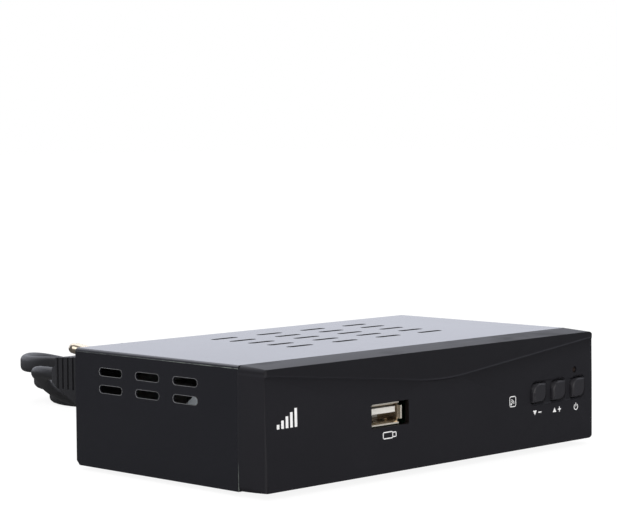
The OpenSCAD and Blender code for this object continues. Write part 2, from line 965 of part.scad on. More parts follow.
module av_shell() {
  color([0.78, 0.78, 0.8])
    translate([av_x, 0, board_top + av_h / 2])
      difference() {
        run_back(y_rear + av_out - av_d, av_d)
          av_section(0);
        run_back(y_rear + av_out - av_d + 2, av_d)
          av_section(-0.45);
      }
}

module av_tongue() {
  color([0.1, 0.1, 0.1])
    translate([av_x, 0, board_top + av_h / 2 + 0.3]) {
      box([-5.6, 5.6], [y_rear + av_out - av_d + 2, y_rear - 1.5], [-0.5, 0.5]);
      for (i = [-9:9])
        translate([i * 0.5, 0, 0.5 - eps])
          box([-0.14, 0.14], [y_rear - 7.5, y_rear - 2], [0, 0.12]);
    }
}

// Outline of the 21-way socket's mouth: one long side is shorter, as the plug fits one way round
module tv_outline(grow) {
  w = tv_w / 2 - 3 + grow;
  h = 5.4 + grow;
  polygon([[-w, -h], [w - 3, -h], [w, -h + 3], [w, h], [-w, h]]);
}

module tv_slots() {
  for (i = [0:tv_rows - 1], row = [-1, 1])
    translate([(i - (tv_rows - 1) / 2) * tv_pitch + row * tv_pitch / 4, row * tv_row_z])
      square([1.5, 3.2], center = true);
}

tv_at = [tv_x, 0, board_top + tv_h / 2];
module tv_socket() {
  color([0.08, 0.08, 0.08])
    translate(tv_at)
      difference() {
        run_back(y_rear + tv_out - tv_d, tv_d)
          square([tv_w, tv_h], center = true);
        run_back(y_rear + tv_out - 9, 10)
          difference() {
            tv_outline(1);
            tv_outline(-0.7);
          }
        run_back(y_rear + tv_out - 9, 10)
          tv_slots();
      }
}

module tv_contacts() {
  color([0.85, 0.8, 0.6])
    translate(tv_at)
      for (i = [0:tv_rows - 1], row = [-1, 1])
        translate([(i - (tv_rows - 1) / 2) * tv_pitch + row * tv_pitch / 4, 0, row * tv_row_z])
          box([-0.3, 0.3], [y_rear + tv_out - 9, y_rear - 1], [-1.4, 1.4]);
}

// Mains entry

// Side view: it rises a little towards the cord, which pulls it up
module relief_side() {
  body = relief_len - relief_nose_len;
  polygon([
    [0, -relief_root[1] / 2], [body, relief_rise - relief_end[1] / 2],
    [relief_len, cord_rise - relief_nose[1] / 2], [relief_len, cord_rise + relief_nose[1] / 2],
    [body + 0.4, cord_rise + relief_nose[1] / 2 + 1.4], [body, relief_rise + relief_end[1] / 2],
    [0, relief_root[1] / 2]
  ]);
}

module relief_plan() {
  body = relief_len - relief_nose_len;
  polygon([
    [-relief_root[0] / 2, 0], [-relief_end[0] / 2, body], [-relief_nose[0] / 2, relief_len],
    [relief_nose[0] / 2, relief_len], [relief_end[0] / 2, body], [relief_root[0] / 2, 0]
  ]);
}

// Grooves in the upper part of both sides let the relief bend
module relief_groove(y) {
  low = relief_rise - relief_end[1] / 2 - 0.3;
  share = y / (relief_len - relief_nose_len);
  t = relief_root[0] + (relief_end[0] - relief_root[0]) * share;
  for (s = [-1, 1])
    translate([s * t / 2, y, low + relief_root[1] / 2])
      cube([2 * relief_groove_d, relief_groove_w, relief_root[1]], center = true);
}

module bend_relief() {
  last = relief_len - relief_nose_len - 1.2;
  color([0.07, 0.07, 0.07])
    translate([relief_x, y_rear, relief_zz]) {
      bar([0, -sheet_t - 3, 0], relief_hole + 1, 3);
      bar([0, -sheet_t - eps, 0], relief_hole - 0.1, sheet_t + 2 * eps);
      difference() {
        intersection() {
          run_right(-relief_root[0], 2 * relief_root[0])
            relief_side();
          translate([0, 0, -relief_root[1]])
            linear_extrude(2 * relief_root[1])
              relief_plan();
        }
        for (i = [0:relief_grooves - 1])
          relief_groove(last - i * relief_pitch);
      }
    }
}

// Sweeping a flat cord along its route

floor_z = cord_w / 2;
function place(p) = [cord_exit[0] + p[0], cord_exit[1] + p[1], floor_z + p[2] * (cord_z - floor_z)];
function unit(v) = v / norm(v);
function blend(a, b, c, d, t) =
  0.5 * (2 * b + (c - a) * t + (2 * a - 5 * b + 4 * c - d) * t * t + (3 * b - a - 3 * c + d) * t * t * t);
// A smooth line through the points, with extra points between them
function smooth(p, n) = [
  for (i = [0:len(p) - 2], k = [0:n - 1])
    blend(p[max(i - 1, 0)], p[i], p[i + 1], p[min(i + 2, len(p) - 1)], k / n),
  p[len(p) - 1]
];
// The same line, kept off the floor
function resting(p) = [for (q = p) [q[0], q[1], max(q[2], floor_z)]];
// Directions along a line, with those at its ends given
function headings(p, first, last) = [
  for (i = [0:len(p) - 1])
    i == 0 ? first : i == len(p) - 1 ? last : unit(p[i + 1] - p[i - 1])
];
// One ring of the cord: its wide side stands up where the turn is 0
function cord_ring(p, t, turn, section) =
  let (side = unit(cross(t, [0, 0, 1])), up = cross(side, t))
  let (a = side * cos(turn) + up * sin(turn), b = up * cos(turn) - side * sin(turn))
  [for (q = section) p + q[0] * a + q[1] * b];

// Sections of the cord with eight and with six sides
section_8 = [
  for (s = [[1, -1], [1, 1], [-1, 1], [-1, -1]], k = [0, 1])
    let (first = (s[0] * s[1] < 0) == (k == 0))
    first ? [s[0] * (cord_t / 2 - 1.2), s[1] * cord_w / 2] : [s[0] * cord_t / 2, s[1] * (cord_w / 2 - 1.2)]
];
section_6 = [
  [0, -cord_w / 2], [cord_t / 2, -cord_w / 2 + 1.2], [cord_t / 2, cord_w / 2 - 1.2],
  [0, cord_w / 2], [-cord_t / 2, cord_w / 2 - 1.2], [-cord_t / 2, -cord_w / 2 + 1.2]
];

module swept(path, dirs, turns, section) {
  n = len(section);
  last = len(path) - 1;
  points = [for (i = [0:last]) each cord_ring(path[i], dirs[i], turns[i], section)];
  walls = [
    for (i = [0:last - 1], k = [0:n - 1])
      let (a = i * n + k, b = i * n + (k + 1) % n)
      each [[a, a + n, b], [b, a + n, b + n]]
  ];
  ends = [
    for (k = [1:n - 2])
      each [[0, k, k + 1], [last * n, last * n + k + 1, last * n + k]]
  ];
  polyhedron(points = points, faces = concat(walls, ends));
}

// Hank: place along the loops, where a whole number is the left end of the near run
function hank_r(u) = hank_in_r + hank_step * abs(u - hank_turn);
function hank_z(u) =
  hank_lift + floor_z + hank_layer * min(max((u - 1.5) / 0.25, 0), 1);
function drawn(x) =
  let (s = x / (hank_run * 0.4))
  abs(s) < 1 ? hank_waist * pow(cos(90 * s), 2) : 0;
function hank_flat(u) =
  let (q = (u - floor(u)) * 4, part = floor(q), f = q - part, r = hank_r(u), half = hank_run / 2)
  part == 0 ? let (x = -half + f * hank_run) [x, -r + drawn(x)] :
  part == 1 ? [half + r * sin(180 * f), -r * cos(180 * f)] :
  part == 2 ? let (x = half - f * hank_run) [x, r - drawn(x)] :
  [-half - r * sin(180 * f), r * cos(180 * f)];
function hank_at(u) =
  let (q = hank_flat(u))
  [cord_exit[0] + hank_mid[0] + q[0], cord_exit[1] + hank_mid[1] + q[1], hank_z(u)];
hank_count = ceil((hank_to - hank_from) * hank_steps);
function hank_line(n) = [for (i = [0:n]) hank_at(hank_from + (hank_to - hank_from) * i / n)];

// Least gap of the hank to itself, measured between points that aren't neighbours
function pair_gap(p, q) = max(norm([p[0] - q[0], p[1] - q[1]]) - cord_t, abs(p[2] - q[2]) - cord_w);
gap_points = hank_line(hank_count * 3);
gap_skip = 30;
hank_gap = min([
  for (i = [0:len(gap_points) - 1 - gap_skip], j = [i + gap_skip:len(gap_points) - 1])
    pair_gap(gap_points[i], gap_points[j])
]);

module cord_hank() {
  path = hank_line(hank_count);
  echo(hank_least_gap = hank_gap);
  color([0.07, 0.07, 0.07])
    swept(path, headings(path, [1, 0, 0], [1, 0, 0]), [for (p = path) 0], section_6);
}

// The lead leaves its relief on the flat and stands on edge after a few rings
lead_turn = 12;
module cord_lead() {
  ends = concat([for (p = lead_route) place(p)], [hank_at(hank_from)]);
  path = resting(smooth(ends, 2));
  color([0.07, 0.07, 0.07])
    swept(path, headings(path, [0, 1, 0], [1, 0, 0]),
          [for (i = [0:len(path) - 1]) 90 * max(0, 1 - i / lead_turn)], section_8);
}

plug_at = place([104, 42, 0.365]);
plug_dir = [cos(plug_pitch) * cos(plug_yaw), cos(plug_pitch) * sin(plug_yaw), sin(plug_pitch)];
// The tail turns on its flat over its last rings, before it meets the plug
tail_turn = 4;
module cord_tail() {
  path = resting(smooth(concat([hank_at(hank_to)], [for (p = tail_route) place(p)], [plug_at]), 1));
  last = len(path) - 1;
  color([0.07, 0.07, 0.07])
    swept(path, headings(path, [1, 0, 0], plug_dir),
          [for (i = [0:last]) (90 + plug_roll) * max(0, 1 - (last - i) / tail_turn)], section_8);
}

// Strap round the waist of the hank
module cord_tie() {
  // The tube runs straight from ring to ring, so it is drawn in a little less than its curve
  waist = drawn(hank_run / 12);
  near = hank_r(hank_to - 0.104) - waist + cord_t / 2;
  far = hank_r(hank_to - 0.604) - waist + cord_t / 2;
  wide = near + far + 0.6;
  tall = cord_w + hank_layer + 0.4;
  color([0.05, 0.05, 0.05])
    translate([
      cord_exit[0] + hank_mid[0], cord_exit[1] + hank_mid[1] + (far - near) / 2,
      hank_lift + (cord_w + hank_layer) / 2
    ])
      rotate([90, 0, 90])
        linear_extrude(tie_w, center = true)
          difference() {
            round_square(wide + 2 * tie_t, tall + 2 * tie_t, 2);
            round_square(wide, tall, 1.2);
          }
}

// Two-pin plug

module on_plug() {
  translate(plug_at)
    rotate([plug_roll, -plug_pitch, plug_yaw])
      children();
}

module plug_body() {
  shoulder = 21;
  color([0.07, 0.07, 0.07])
    on_plug()
      difference() {
        intersection() {
          rotate([90, 0, 90])
            linear_extrude(plug_len)
              round_square(plug_face[0], plug_face[1], 6.2);
          translate([0, 0, -20])
            linear_extrude(40)
              polygon([
                [0, -plug_tail[0] / 2], [6, -plug_tail[0] / 2 - 0.5], [shoulder, -plug_face[0] / 2],
                [plug_len, -plug_face[0] / 2], [plug_len, plug_face[0] / 2], [shoulder, plug_face[0] / 2],
                [6, plug_tail[0] / 2 + 0.5], [0, plug_tail[0] / 2]
              ]);
          rotate([90, 0, 0])
            translate([0, 0, -20])
              linear_extrude(40)
                polygon([
                  [0, -plug_tail[1] / 2], [shoulder, -plug_face[1] / 2], [plug_len, -plug_face[1] / 2],
                  [plug_len, plug_face[1] / 2], [shoulder, plug_face[1] / 2], [0, plug_tail[1] / 2]
                ]);
        }
        for (s = [-1, 1])
          translate([plug_len - 6, s * plug_gauge / 2, 0])
            rotate([0, 90, 0])
              cylinder(r = sleeve_r + 0.05, h = 10);
        // Finger grooves across both flat sides
        for (i = [0:3], s = [-1, 1])
          translate([9 + i * 3, 0, s * 7.4])
            rotate([90, 0, 0])
              cylinder(r = 1.6, h = 12, center = true);
      }
}

module plug_pin(s) {
  color([0.8, 0.8, 0.78])
    on_plug()
      translate([plug_len, s * plug_gauge / 2, 0])
        rotate([0, 90, 0]) {
          translate([0, 0, -6])
            cylinder(r = shank_r, h = sleeve_len + 6 + eps);
          translate([0, 0, sleeve_len])
            cylinder(r = pin_r, h = pin_len - sleeve_len - pin_r);
          translate([0, 0, pin_len - pin_r])
            sphere(pin_r);
        }
}

module plug_sleeve(s) {
  color([0.07, 0.07, 0.07])
    on_plug()
      translate([plug_len - 6, s * plug_gauge / 2, 0])
        rotate([0, 90, 0])
          difference() {
            cylinder(r = sleeve_r, h = sleeve_len + 6);
            translate([0, 0, -1])
              cylinder(r = shank_r + 0.02, h = sleeve_len + 8);
          }
}

module plug_pin_1() plug_pin(-1);
module plug_pin_2() plug_pin(1);
module plug_sleeve_1() plug_sleeve(-1);
module plug_sleeve_2() plug_sleeve(1);

chassis();
cover();
front_panel();
key_down();
key_up();
key_power();
plunger_down();
plunger_up();
plunger_power();
switch_down();
switch_up();
switch_power();
front_board();
standby_light();
eye();
port_shell();
port_tongue();
port_contacts();
main_board();
power_board();
board_link();
tuner();
aerial_socket();
aerial_contact();
loop_plug();
loop_pin();
aerial_discs();
av_shell();
av_tongue();
tv_socket();
tv_contacts();
transformer_core();
transformer_coil();
main_capacitor();
output_capacitor_1();
output_capacitor_2();
fuse();
main_chip();
heat_sink();
pillars();
board_screws();
panel_screws();
case_screws();
foot_front_left();
foot_front_right();
foot_rear_left();
foot_rear_right();
bend_relief();
cord_lead();
cord_hank();
cord_tail();
cord_tie();
plug_body();
plug_pin_1();
plug_pin_2();
plug_sleeve_1();
plug_sleeve_2();
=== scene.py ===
# %% [markdown]
# A small television receiver in a slotted sheet metal case. Its solids come from the CAD frame, which stays
# fixed, and this lesson adds what a render needs: a camera, light, the soft cord, printed signs, bare metal
# edges, a few finer cuts and a finish for every piece. All sizes are in metres, and each piece keeps its
# place in its own mesh.

# %% Load the frame
import math

import bmesh
import bpy
from mathutils import Matrix, Vector
from mathutils.bvhtree import BVHTree


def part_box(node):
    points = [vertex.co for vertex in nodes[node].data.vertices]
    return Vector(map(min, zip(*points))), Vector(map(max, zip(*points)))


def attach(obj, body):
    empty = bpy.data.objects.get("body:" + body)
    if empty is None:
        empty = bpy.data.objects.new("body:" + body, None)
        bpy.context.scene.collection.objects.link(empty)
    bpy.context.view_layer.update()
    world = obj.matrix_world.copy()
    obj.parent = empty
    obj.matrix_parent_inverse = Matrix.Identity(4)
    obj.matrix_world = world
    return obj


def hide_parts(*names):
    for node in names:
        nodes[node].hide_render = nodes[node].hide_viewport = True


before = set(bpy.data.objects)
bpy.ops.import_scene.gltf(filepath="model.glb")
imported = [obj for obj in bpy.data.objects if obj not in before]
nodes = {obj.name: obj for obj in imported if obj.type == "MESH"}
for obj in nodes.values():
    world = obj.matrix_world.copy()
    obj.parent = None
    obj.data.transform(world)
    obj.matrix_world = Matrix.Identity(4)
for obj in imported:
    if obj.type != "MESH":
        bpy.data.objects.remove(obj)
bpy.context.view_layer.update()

scene = bpy.context.scene
scene.view_settings.view_transform = "Standard"
MM = 0.001

# %% [markdown]
# The photograph was taken from the left of the front, hardly above the case. The camera's place, turn, rise
# and tilt were fitted to the case's corners. A matrix built from its three axes sets all of them at once,
# which is plainer than chaining rotations.

# %% Camera
CAMERA_AT = Vector((-0.52142, -0.51251, 0.11358))
LENS, SENSOR, NEAREST = 125.0, 36.0, 0.01
turn, rise, tilt = (math.radians(a) for a in (-44.878, 3.783, -0.429))
back = Vector((math.sin(turn) * math.cos(rise), -math.cos(turn) * math.cos(rise), math.sin(rise)))
right = Vector((math.cos(turn), math.sin(turn), 0))
up = back.cross(right)
camera_right = math.cos(tilt) * right + math.sin(tilt) * up
camera_up = -math.sin(tilt) * right + math.cos(tilt) * up

camera = bpy.data.objects.new("camera", bpy.data.cameras.new("camera"))
camera.data.lens = LENS
camera.data.sensor_width = SENSOR
camera.data.clip_start = NEAREST
axes = Matrix((camera_right, camera_up, back)).transposed().to_4x4()
camera.matrix_world = Matrix.Translation(CAMERA_AT) @ axes
scene.collection.objects.link(camera)
scene.camera = camera
print("camera at", [round(v, 3) for v in CAMERA_AT])

# %% [markdown]
# Node trees are easier to read when one short line makes a node and sets its values. These helpers are used
# for every material, for the shared shader groups and for the geometry tree.

# %% Helpers for node trees
def add(tree, kind, inputs=None, **settings):
    made = tree.nodes.new(kind)
    for name, value in settings.items():
        setattr(made, name, value)
    for name, value in (inputs or {}).items():
        socket = made.inputs[name]
        if isinstance(value, bpy.types.NodeSocket):
            tree.links.new(value, socket)
        else:
            socket.default_value = value
    return made


def maths(tree, operation, a, b=0.0):
    return add(tree, "ShaderNodeMath", {0: a, 1: b}, operation=operation).outputs[0]


def times(tree, a, b):
    return maths(tree, "MULTIPLY", a, b)


def minus(tree, a, b):
    return maths(tree, "SUBTRACT", a, b)


def mix_value(tree, share, a, b):
    return add(tree, "ShaderNodeMix", {0: share, 2: a, 3: b}).outputs[0]


def mix_colour(tree, share, a, b):
    return add(tree, "ShaderNodeMix", {0: share, 6: a, 7: b}, data_type="RGBA").outputs[2]


def ramp(tree, value, low, high, to_low=0.0, to_high=1.0):
    limits = {"From Min": low, "From Max": high, "To Min": to_low, "To Max": to_high}
    made = add(tree, "ShaderNodeMapRange", {"Value": value, **limits}, interpolation_type="SMOOTHSTEP")
    return made.outputs["Result"]


print("helpers for nodes, sums, mixes and ramps")

# %% Helpers for groups and materials
def new_group(name, kind, inputs, outputs):
    tree = bpy.data.node_groups.new(name, kind)
    for title, socket, value in inputs:
        made = tree.interface.new_socket(title, in_out="INPUT", socket_type="NodeSocket" + socket)
        if value is not None:
            made.default_value = value
    for title, socket in outputs:
        tree.interface.new_socket(title, in_out="OUTPUT", socket_type="NodeSocket" + socket)
    return tree, add(tree, "NodeGroupInput").outputs


def blank_material(name):
    made = bpy.data.materials.new(name)
    made.use_nodes = True
    made.node_tree.nodes.clear()
    return made, made.node_tree


def object_place(tree):
    return add(tree, "ShaderNodeTexCoord").outputs["Object"]


def object_axes(tree):
    return add(tree, "ShaderNodeSeparateXYZ", {"Vector": object_place(tree)}).outputs


def bumped(tree, strength, distance, height):
    sizes = {"Strength": strength, "Distance": distance}
    return add(tree, "ShaderNodeBump", {**sizes, "Height": height}).outputs["Normal"]


def principled(tree, inputs):
    shader = add(tree, "ShaderNodeBsdfPrincipled", inputs)
    add(tree, "ShaderNodeOutputMaterial", {"Surface": shader.outputs[0]})


print("helpers for groups and materials")

# %% [markdown]
# The studio is a white sweep behind the object, a dark room in front of it, a large soft key lamp at the left
# of the camera and another lamp overhead. Diffuse light also comes evenly from all around, so white ink looks
# white. Glossy rays see the sweep, a little blue, behind the object and a dim room in front, which is why the
# lid of a black box looks pale at a grazing angle while its upright sides stay dark.

# %% World
WHITE = (1.0, 1.0, 1.0, 1.0)
SWEEP_TINT = (0.87, 0.895, 1.0, 1.0)
SWEEP_WAY = (0.7056, 0.7086, 0.0)
ROOM_LEVEL, SWEEP_LEVEL, ALL_ROUND_LEVEL = 0.12, 1.23, 0.75

world = bpy.data.worlds.new("studio")
scene.world = world
world.use_nodes = True
tree = world.node_tree
tree.nodes.clear()
rays = add(tree, "ShaderNodeLightPath").outputs
where = add(tree, "ShaderNodeTexCoord").outputs["Generated"]
behind = add(tree, "ShaderNodeVectorMath", {0: where, 1: SWEEP_WAY}, operation="DOT_PRODUCT")
sweep = ramp(tree, behind.outputs["Value"], 0.0, 0.5, ROOM_LEVEL, SWEEP_LEVEL)
mirrored = mix_value(tree, rays["Is Glossy Ray"], ALL_ROUND_LEVEL, sweep)
seen = maths(tree, "MAXIMUM", rays["Is Camera Ray"], rays["Is Transmission Ray"])
strength = mix_value(tree, seen, mirrored, 1.0)
tint = mix_colour(tree, rays["Is Glossy Ray"], WHITE, SWEEP_TINT)
sky = add(tree, "ShaderNodeBackground", {"Color": tint, "Strength": strength})
add(tree, "ShaderNodeOutputWorld", {"Surface": sky.outputs["Background"]})
print("world: white sweep behind, dim room in front")

# %% Lamps
def soft_lamp(name, at, aim, size, power, tint):
    data = bpy.data.lights.new(name, "AREA")
    data.shape = "RECTANGLE"
    data.size, data.size_y = size
    data.energy = power
    data.color = tint
    lamp = bpy.data.objects.new(name, data)
    turned = (Vector(at) - Vector(aim)).to_track_quat("Z", "Y").to_matrix().to_4x4()
    lamp.matrix_world = Matrix.Translation(at) @ turned
    scene.collection.objects.link(lamp)


soft_lamp("overhead", (0.25, 0.35, 1.1), (0.0, 0.0, 0.0), (1.5, 1.2), 5.0, (1.0, 0.99, 1.0))
soft_lamp("key", (-0.95, -0.80, 0.62), (0.0, 0.0, 0.02), (1.5, 1.3), 11.6, (1.0, 0.985, 0.97))
print("a soft lamp overhead and a key lamp at the left")

# %% Floor
FLOOR_HALF, FLOOR_DROP = 6.0, 0.05 * MM
FADE_FROM, FADE_TO, NEAR_GLOW = 0.16, 0.6, 0.84
PAPER, MIRRORED_PAPER = (0.6, 0.6, 0.61, 1.0), (0.12, 0.12, 0.13, 1.0)
PAPER_GLOW, MIRRORED_GLOW = 1.06, 0.12

floor_mesh = bpy.data.meshes.new("floor")
around = ((-1, -1), (1, -1), (1, 1), (-1, 1))
floor_mesh.from_pydata([(x * FLOOR_HALF, y * FLOOR_HALF, 0) for x, y in around], [], [(0, 1, 2, 3)])
floor = bpy.data.objects.new("floor", floor_mesh)
floor.location.z = -FLOOR_DROP
scene.collection.objects.link(floor)
floor_paper, tree = blank_material("floor_paper")
rays = add(tree, "ShaderNodeLightPath").outputs
shown = maths(tree, "MAXIMUM", rays["Is Camera Ray"], rays["Is Transmission Ray"])
shown = maths(tree, "MAXIMUM", shown, rays["Is Glossy Ray"])
away = add(tree, "ShaderNodeVectorMath", {0: object_place(tree)}, operation="LENGTH").outputs["Value"]
far = times(tree, ramp(tree, away, FADE_FROM, FADE_TO, NEAR_GLOW, 1.0), shown)
tone = mix_colour(tree, rays["Is Camera Ray"], PAPER, WHITE)
tone = mix_colour(tree, rays["Is Glossy Ray"], tone, MIRRORED_PAPER)
paper = add(tree, "ShaderNodeBsdfDiffuse", {"Color": tone})
lit = mix_value(tree, rays["Is Glossy Ray"], PAPER_GLOW, MIRRORED_GLOW)
glow = add(tree, "ShaderNodeEmission", {"Color": WHITE, "Strength": lit})
both = add(tree, "ShaderNodeMixShader", {0: far, 1: paper.outputs[0], 2: glow.outputs[0]})
add(tree, "ShaderNodeOutputMaterial", {"Surface": both.outputs[0]})
floor_mesh.materials.append(floor_paper)
print("floor: paper that keeps the shadow, white far away")

# %% [markdown]
# The mains lead is a flat two-core cord. It leaves the bend relief lying on its flat side, turns on edge,
# drops to the floor behind the case and goes into a tied hank. Its end goes once more round the hank and
# comes down to the plug. The route's points are places measured from the relief's nose, with a share of its
# height: the lead and the hank are those of the CAD part, and the end lies lower on its far side. A curve
# object can't twist a flat section this freely, so the section is swept ring by ring.

# %% Route of the cord
EXIT = Vector((-69.0, 62.1, 28.8)) * MM
CORD_W, CORD_T = 6.6 * MM, 4.0 * MM
FLOOR_Z = CORD_W / 2
LEAD = [
    (0, 0, 1), (0, 6, 1), (2, 13.5, 0.96), (8, 21, 0.86), (16, 27.5, 0.72), (26, 33, 0.57), (38, 37.5, 0.41),
    (52, 41.5, 0.24), (66, 44.5, 0.09), (80, 46, 0.01), (94, 46, 0), (108, 46.5, 0), (123, 50, 0),
    (136, 56, 0), (148, 64, 0.01), (158.5, 71.5, 0.03), (168, 76, 0.02),
]
TAIL = [
    (197.5, 79, 0.37), (209, 89, 0.49), (213.5, 103.5, 0.54), (209.5, 117.5, 0.545), (200.5, 128.5, 0.53),
    (190, 136.5, 0.42), (177, 139.7, 0.24), (164, 140, 0.09), (152, 139.8, 0.02), (140, 139.8, 0.03),
    (128, 139.8, 0.15), (117, 139.8, 0.29), (106.5, 139.2, 0.40), (97, 137, 0.475), (87.5, 131.5, 0.52),
    (79.3, 123.5, 0.53), (75, 112.5, 0.555), (75.5, 101.5, 0.58), (81.5, 89.5, 0.585), (91.5, 83, 0.585),
    (103, 81, 0.583), (114, 80.5, 0.583), (124, 77.5, 0.575), (133, 72.5, 0.5), (142, 66.5, 0.39),
    (151, 60, 0.27), (160.5, 53.5, 0.13), (168.5, 45, 0.02), (172.5, 34.5, 0), (170, 24.5, 0),
    (162.5, 18, 0), (152.5, 16, 0), (142, 17.5, 0), (133, 20.3, 0.01), (125, 24.3, 0.075), (115.5, 31, 0.19),
]
PLUG = (104, 42, 0.365)
PLUG_PITCH, PLUG_YAW, PLUG_ROLL = 16, 135, 6


def place(p):
    return Vector((EXIT.x + p[0] * MM, EXIT.y + p[1] * MM, FLOOR_Z + p[2] * (EXIT.z - FLOOR_Z)))


def smooth(points, steps):
    line = []
    last = len(points) - 1
    for i in range(last):
        a, b, c, d = points[max(i - 1, 0)], points[i], points[i + 1], points[min(i + 2, last)]
        for k in range(steps):
            t = k / steps
            curved = (2 * a - 5 * b + 4 * c - d) * t ** 2 + (3 * b - a - 3 * c + d) * t ** 3
            p = 2 * b + (c - a) * t + curved
            line.append(Vector((p.x / 2, p.y / 2, max(p.z / 2, FLOOR_Z))))
    return line + [points[last]]


print("route:", len(LEAD), "points to the hank and", len(TAIL), "from it to the plug")

# %% Loops of the hank
STEPS, HANK_RINGS = 6, 216
HANK_RUN, HANK_MID, HANK_IN_R, HANK_STEP = 84, (143, 106), 20.4, 5.8
HANK_LIFT, HANK_WAIST, WAIST_SHARE, HANK_SHORT = 1, 11, 0.4, (11, 0, 6)
HANK_FROM, HANK_TO, HANK_TURN = 0.229, 3.229, 1.625
LAYER_LIFT, LAYER_FROM, LAYER_RUN = 6.75, 1.5, 0.25


def drawn_in(x):
    s = x / (HANK_RUN * WAIST_SHARE)
    return HANK_WAIST * math.cos(math.radians(90 * s)) ** 2 if abs(s) < 1 else 0.0


def hank_at(u):
    side, f = divmod((u - math.floor(u)) * 4, 1)
    r = HANK_IN_R + HANK_STEP * abs(u - HANK_TURN)
    half = HANK_RUN / 2
    run_x = -half + f * HANK_RUN
    bend = math.radians(180 * f)
    x, y = [
        (run_x, -r + drawn_in(run_x)), (half + r * math.sin(bend), -r * math.cos(bend)),
        (-run_x, r - drawn_in(run_x)), (-half - r * math.sin(bend), r * math.cos(bend)),
    ][int(side)]
    if u > 0.5 and x < 0:
        x += HANK_SHORT[int(u - 0.5)] * math.sin(math.radians(90 * min(-x / half, 1))) ** 2
    z = HANK_LIFT * drawn_in(x) / HANK_WAIST + LAYER_LIFT * min(max((u - LAYER_FROM) / LAYER_RUN, 0), 1)
    return Vector((EXIT.x + (HANK_MID[0] + x) * MM, EXIT.y + (HANK_MID[1] + y) * MM, FLOOR_Z + z * MM))


hank = [hank_at(HANK_FROM + (HANK_TO - HANK_FROM) * i / HANK_RINGS) for i in range(HANK_RINGS + 1)]
lead = smooth([place(p) for p in LEAD] + [hank[0]], STEPS)
tail = smooth([hank[-1]] + [place(p) for p in TAIL] + [place(PLUG)], STEPS)
route = lead[:-1] + hank[:-1] + tail

# %% Helpers for meshes built from rings
def bridge(shape, low, high):
    faces = []
    for k in range(len(low)):
        after = (k + 1) % len(low)
        faces.append(shape.faces.new((low[k], low[after], high[after], high[k])))
    return faces


def object_from(shape, name):
    mesh = bpy.data.meshes.new(name)
    shape.to_mesh(mesh)
    shape.free()
    made = bpy.data.objects.new(name, mesh)
    scene.collection.objects.link(made)
    return made


print("helpers for rings and objects")

# %% Section and twist of the cord
ROUND, LEAD_TURN, TAIL_TURN = 10, 6 * STEPS, 4 * STEPS
pitch, yaw = math.radians(PLUG_PITCH), math.radians(PLUG_YAW)
plug_dir = Vector((math.cos(pitch) * math.cos(yaw), math.cos(pitch) * math.sin(yaw), math.sin(pitch)))
lead_turns = [90 * max(0, 1 - i / LEAD_TURN) for i in range(len(lead) - 1)]
tail_turns = [(90 + PLUG_ROLL) * max(0, 1 - (len(tail) - 1 - i) / TAIL_TURN) for i in range(len(tail))]
twist = lead_turns + [0.0] * (len(hank) - 1) + tail_turns
half_flat, half_t = (CORD_W - CORD_T) / 2, CORD_T / 2
section = []
for end in (1, -1):
    for k in range(ROUND):
        a = math.pi * k / (ROUND - 1)
        section.append((end * math.cos(a) * half_t, end * (half_flat + math.sin(a) * half_t)))
print("section:", len(section), "points, turned by", round(twist[0]), "degrees at the relief")

# %% Sweep of the flat section
def sweep_section(name, line, headings, turns, outline):
    shape = bmesh.new()
    along = shape.loops.layers.uv.new("along")
    rings = []
    for p, t, turned in zip(line, headings, turns):
        side = t.cross(Vector((0, 0, 1))).normalized()
        upright = side.cross(t)
        c, s = math.cos(math.radians(turned)), math.sin(math.radians(turned))
        a, b = side * c + upright * s, upright * c - side * s
        rings.append([shape.verts.new(p + q[0] * a + q[1] * b) for q in outline])
    run = 0.0
    for i, (low, high) in enumerate(zip(rings, rings[1:])):
        then = run + (line[i + 1] - line[i]).length
        for k, face in enumerate(bridge(shape, low, high)):
            face.smooth = True
            for loop, (u, v) in zip(face.loops, ((k, run), (k + 1, run), (k + 1, then), (k, then))):
                loop[along].uv = (u / len(outline), v)
        run = then
    shape.faces.new(rings[0][::-1])
    shape.faces.new(rings[-1])
    bmesh.ops.recalc_face_normals(shape, faces=shape.faces)
    return object_from(shape, name)


headings = [Vector((0, 1, 0))]
headings += [(route[i + 1] - route[i - 1]).normalized() for i in range(1, len(route) - 1)]
headings.append(plug_dir)
mains_cord = sweep_section("mains_cord", route, headings, twist, section)
print("cord mesh:", len(mains_cord.data.polygons), "faces")

# %% [markdown]
# A woven hook-and-loop strap holds the waist of the hank. It is a flat band round a rounded rectangle, so the
# same kind of ring-by-ring build works: the band's own section goes once round the outline and closes. Its
# size is read from the strap of the CAD part, which it stands for.

# %% Strap
TIE_T, TIE_R, TIE_STEPS = 0.8 * MM, 2.0 * MM, 6
BAND = [(-0.5, 0.25), (-0.46, 0.05), (-0.40, 0.0), (0.40, 0.0), (0.46, 0.05), (0.5, 0.25),
        (0.5, 0.75), (0.46, 0.95), (0.40, 1.0), (-0.40, 1.0), (-0.46, 0.95), (-0.5, 0.75)]


def corners(node):
    return [Vector(corner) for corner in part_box(node)]


def strap_rings(shape):
    low, high = corners("cord_tie")
    mid, half = (low + high) / 2, (high - low) / 2
    rings = []
    for quarter in range(4):
        y = mid.y + (half.y - TIE_R) * (1 if quarter in (0, 3) else -1)
        z = mid.z + (half.z - TIE_R) * (1 if quarter in (0, 1) else -1)
        for k in range(TIE_STEPS + 1):
            a = math.radians(90 * (quarter + k / TIE_STEPS))
            ring = []
            for across, deep in BAND:
                r = TIE_R - TIE_T + deep * TIE_T
                ring.append((mid.x + across * 2 * half.x, y + math.cos(a) * r, z + math.sin(a) * r))
            rings.append([shape.verts.new(point) for point in ring])
    return rings


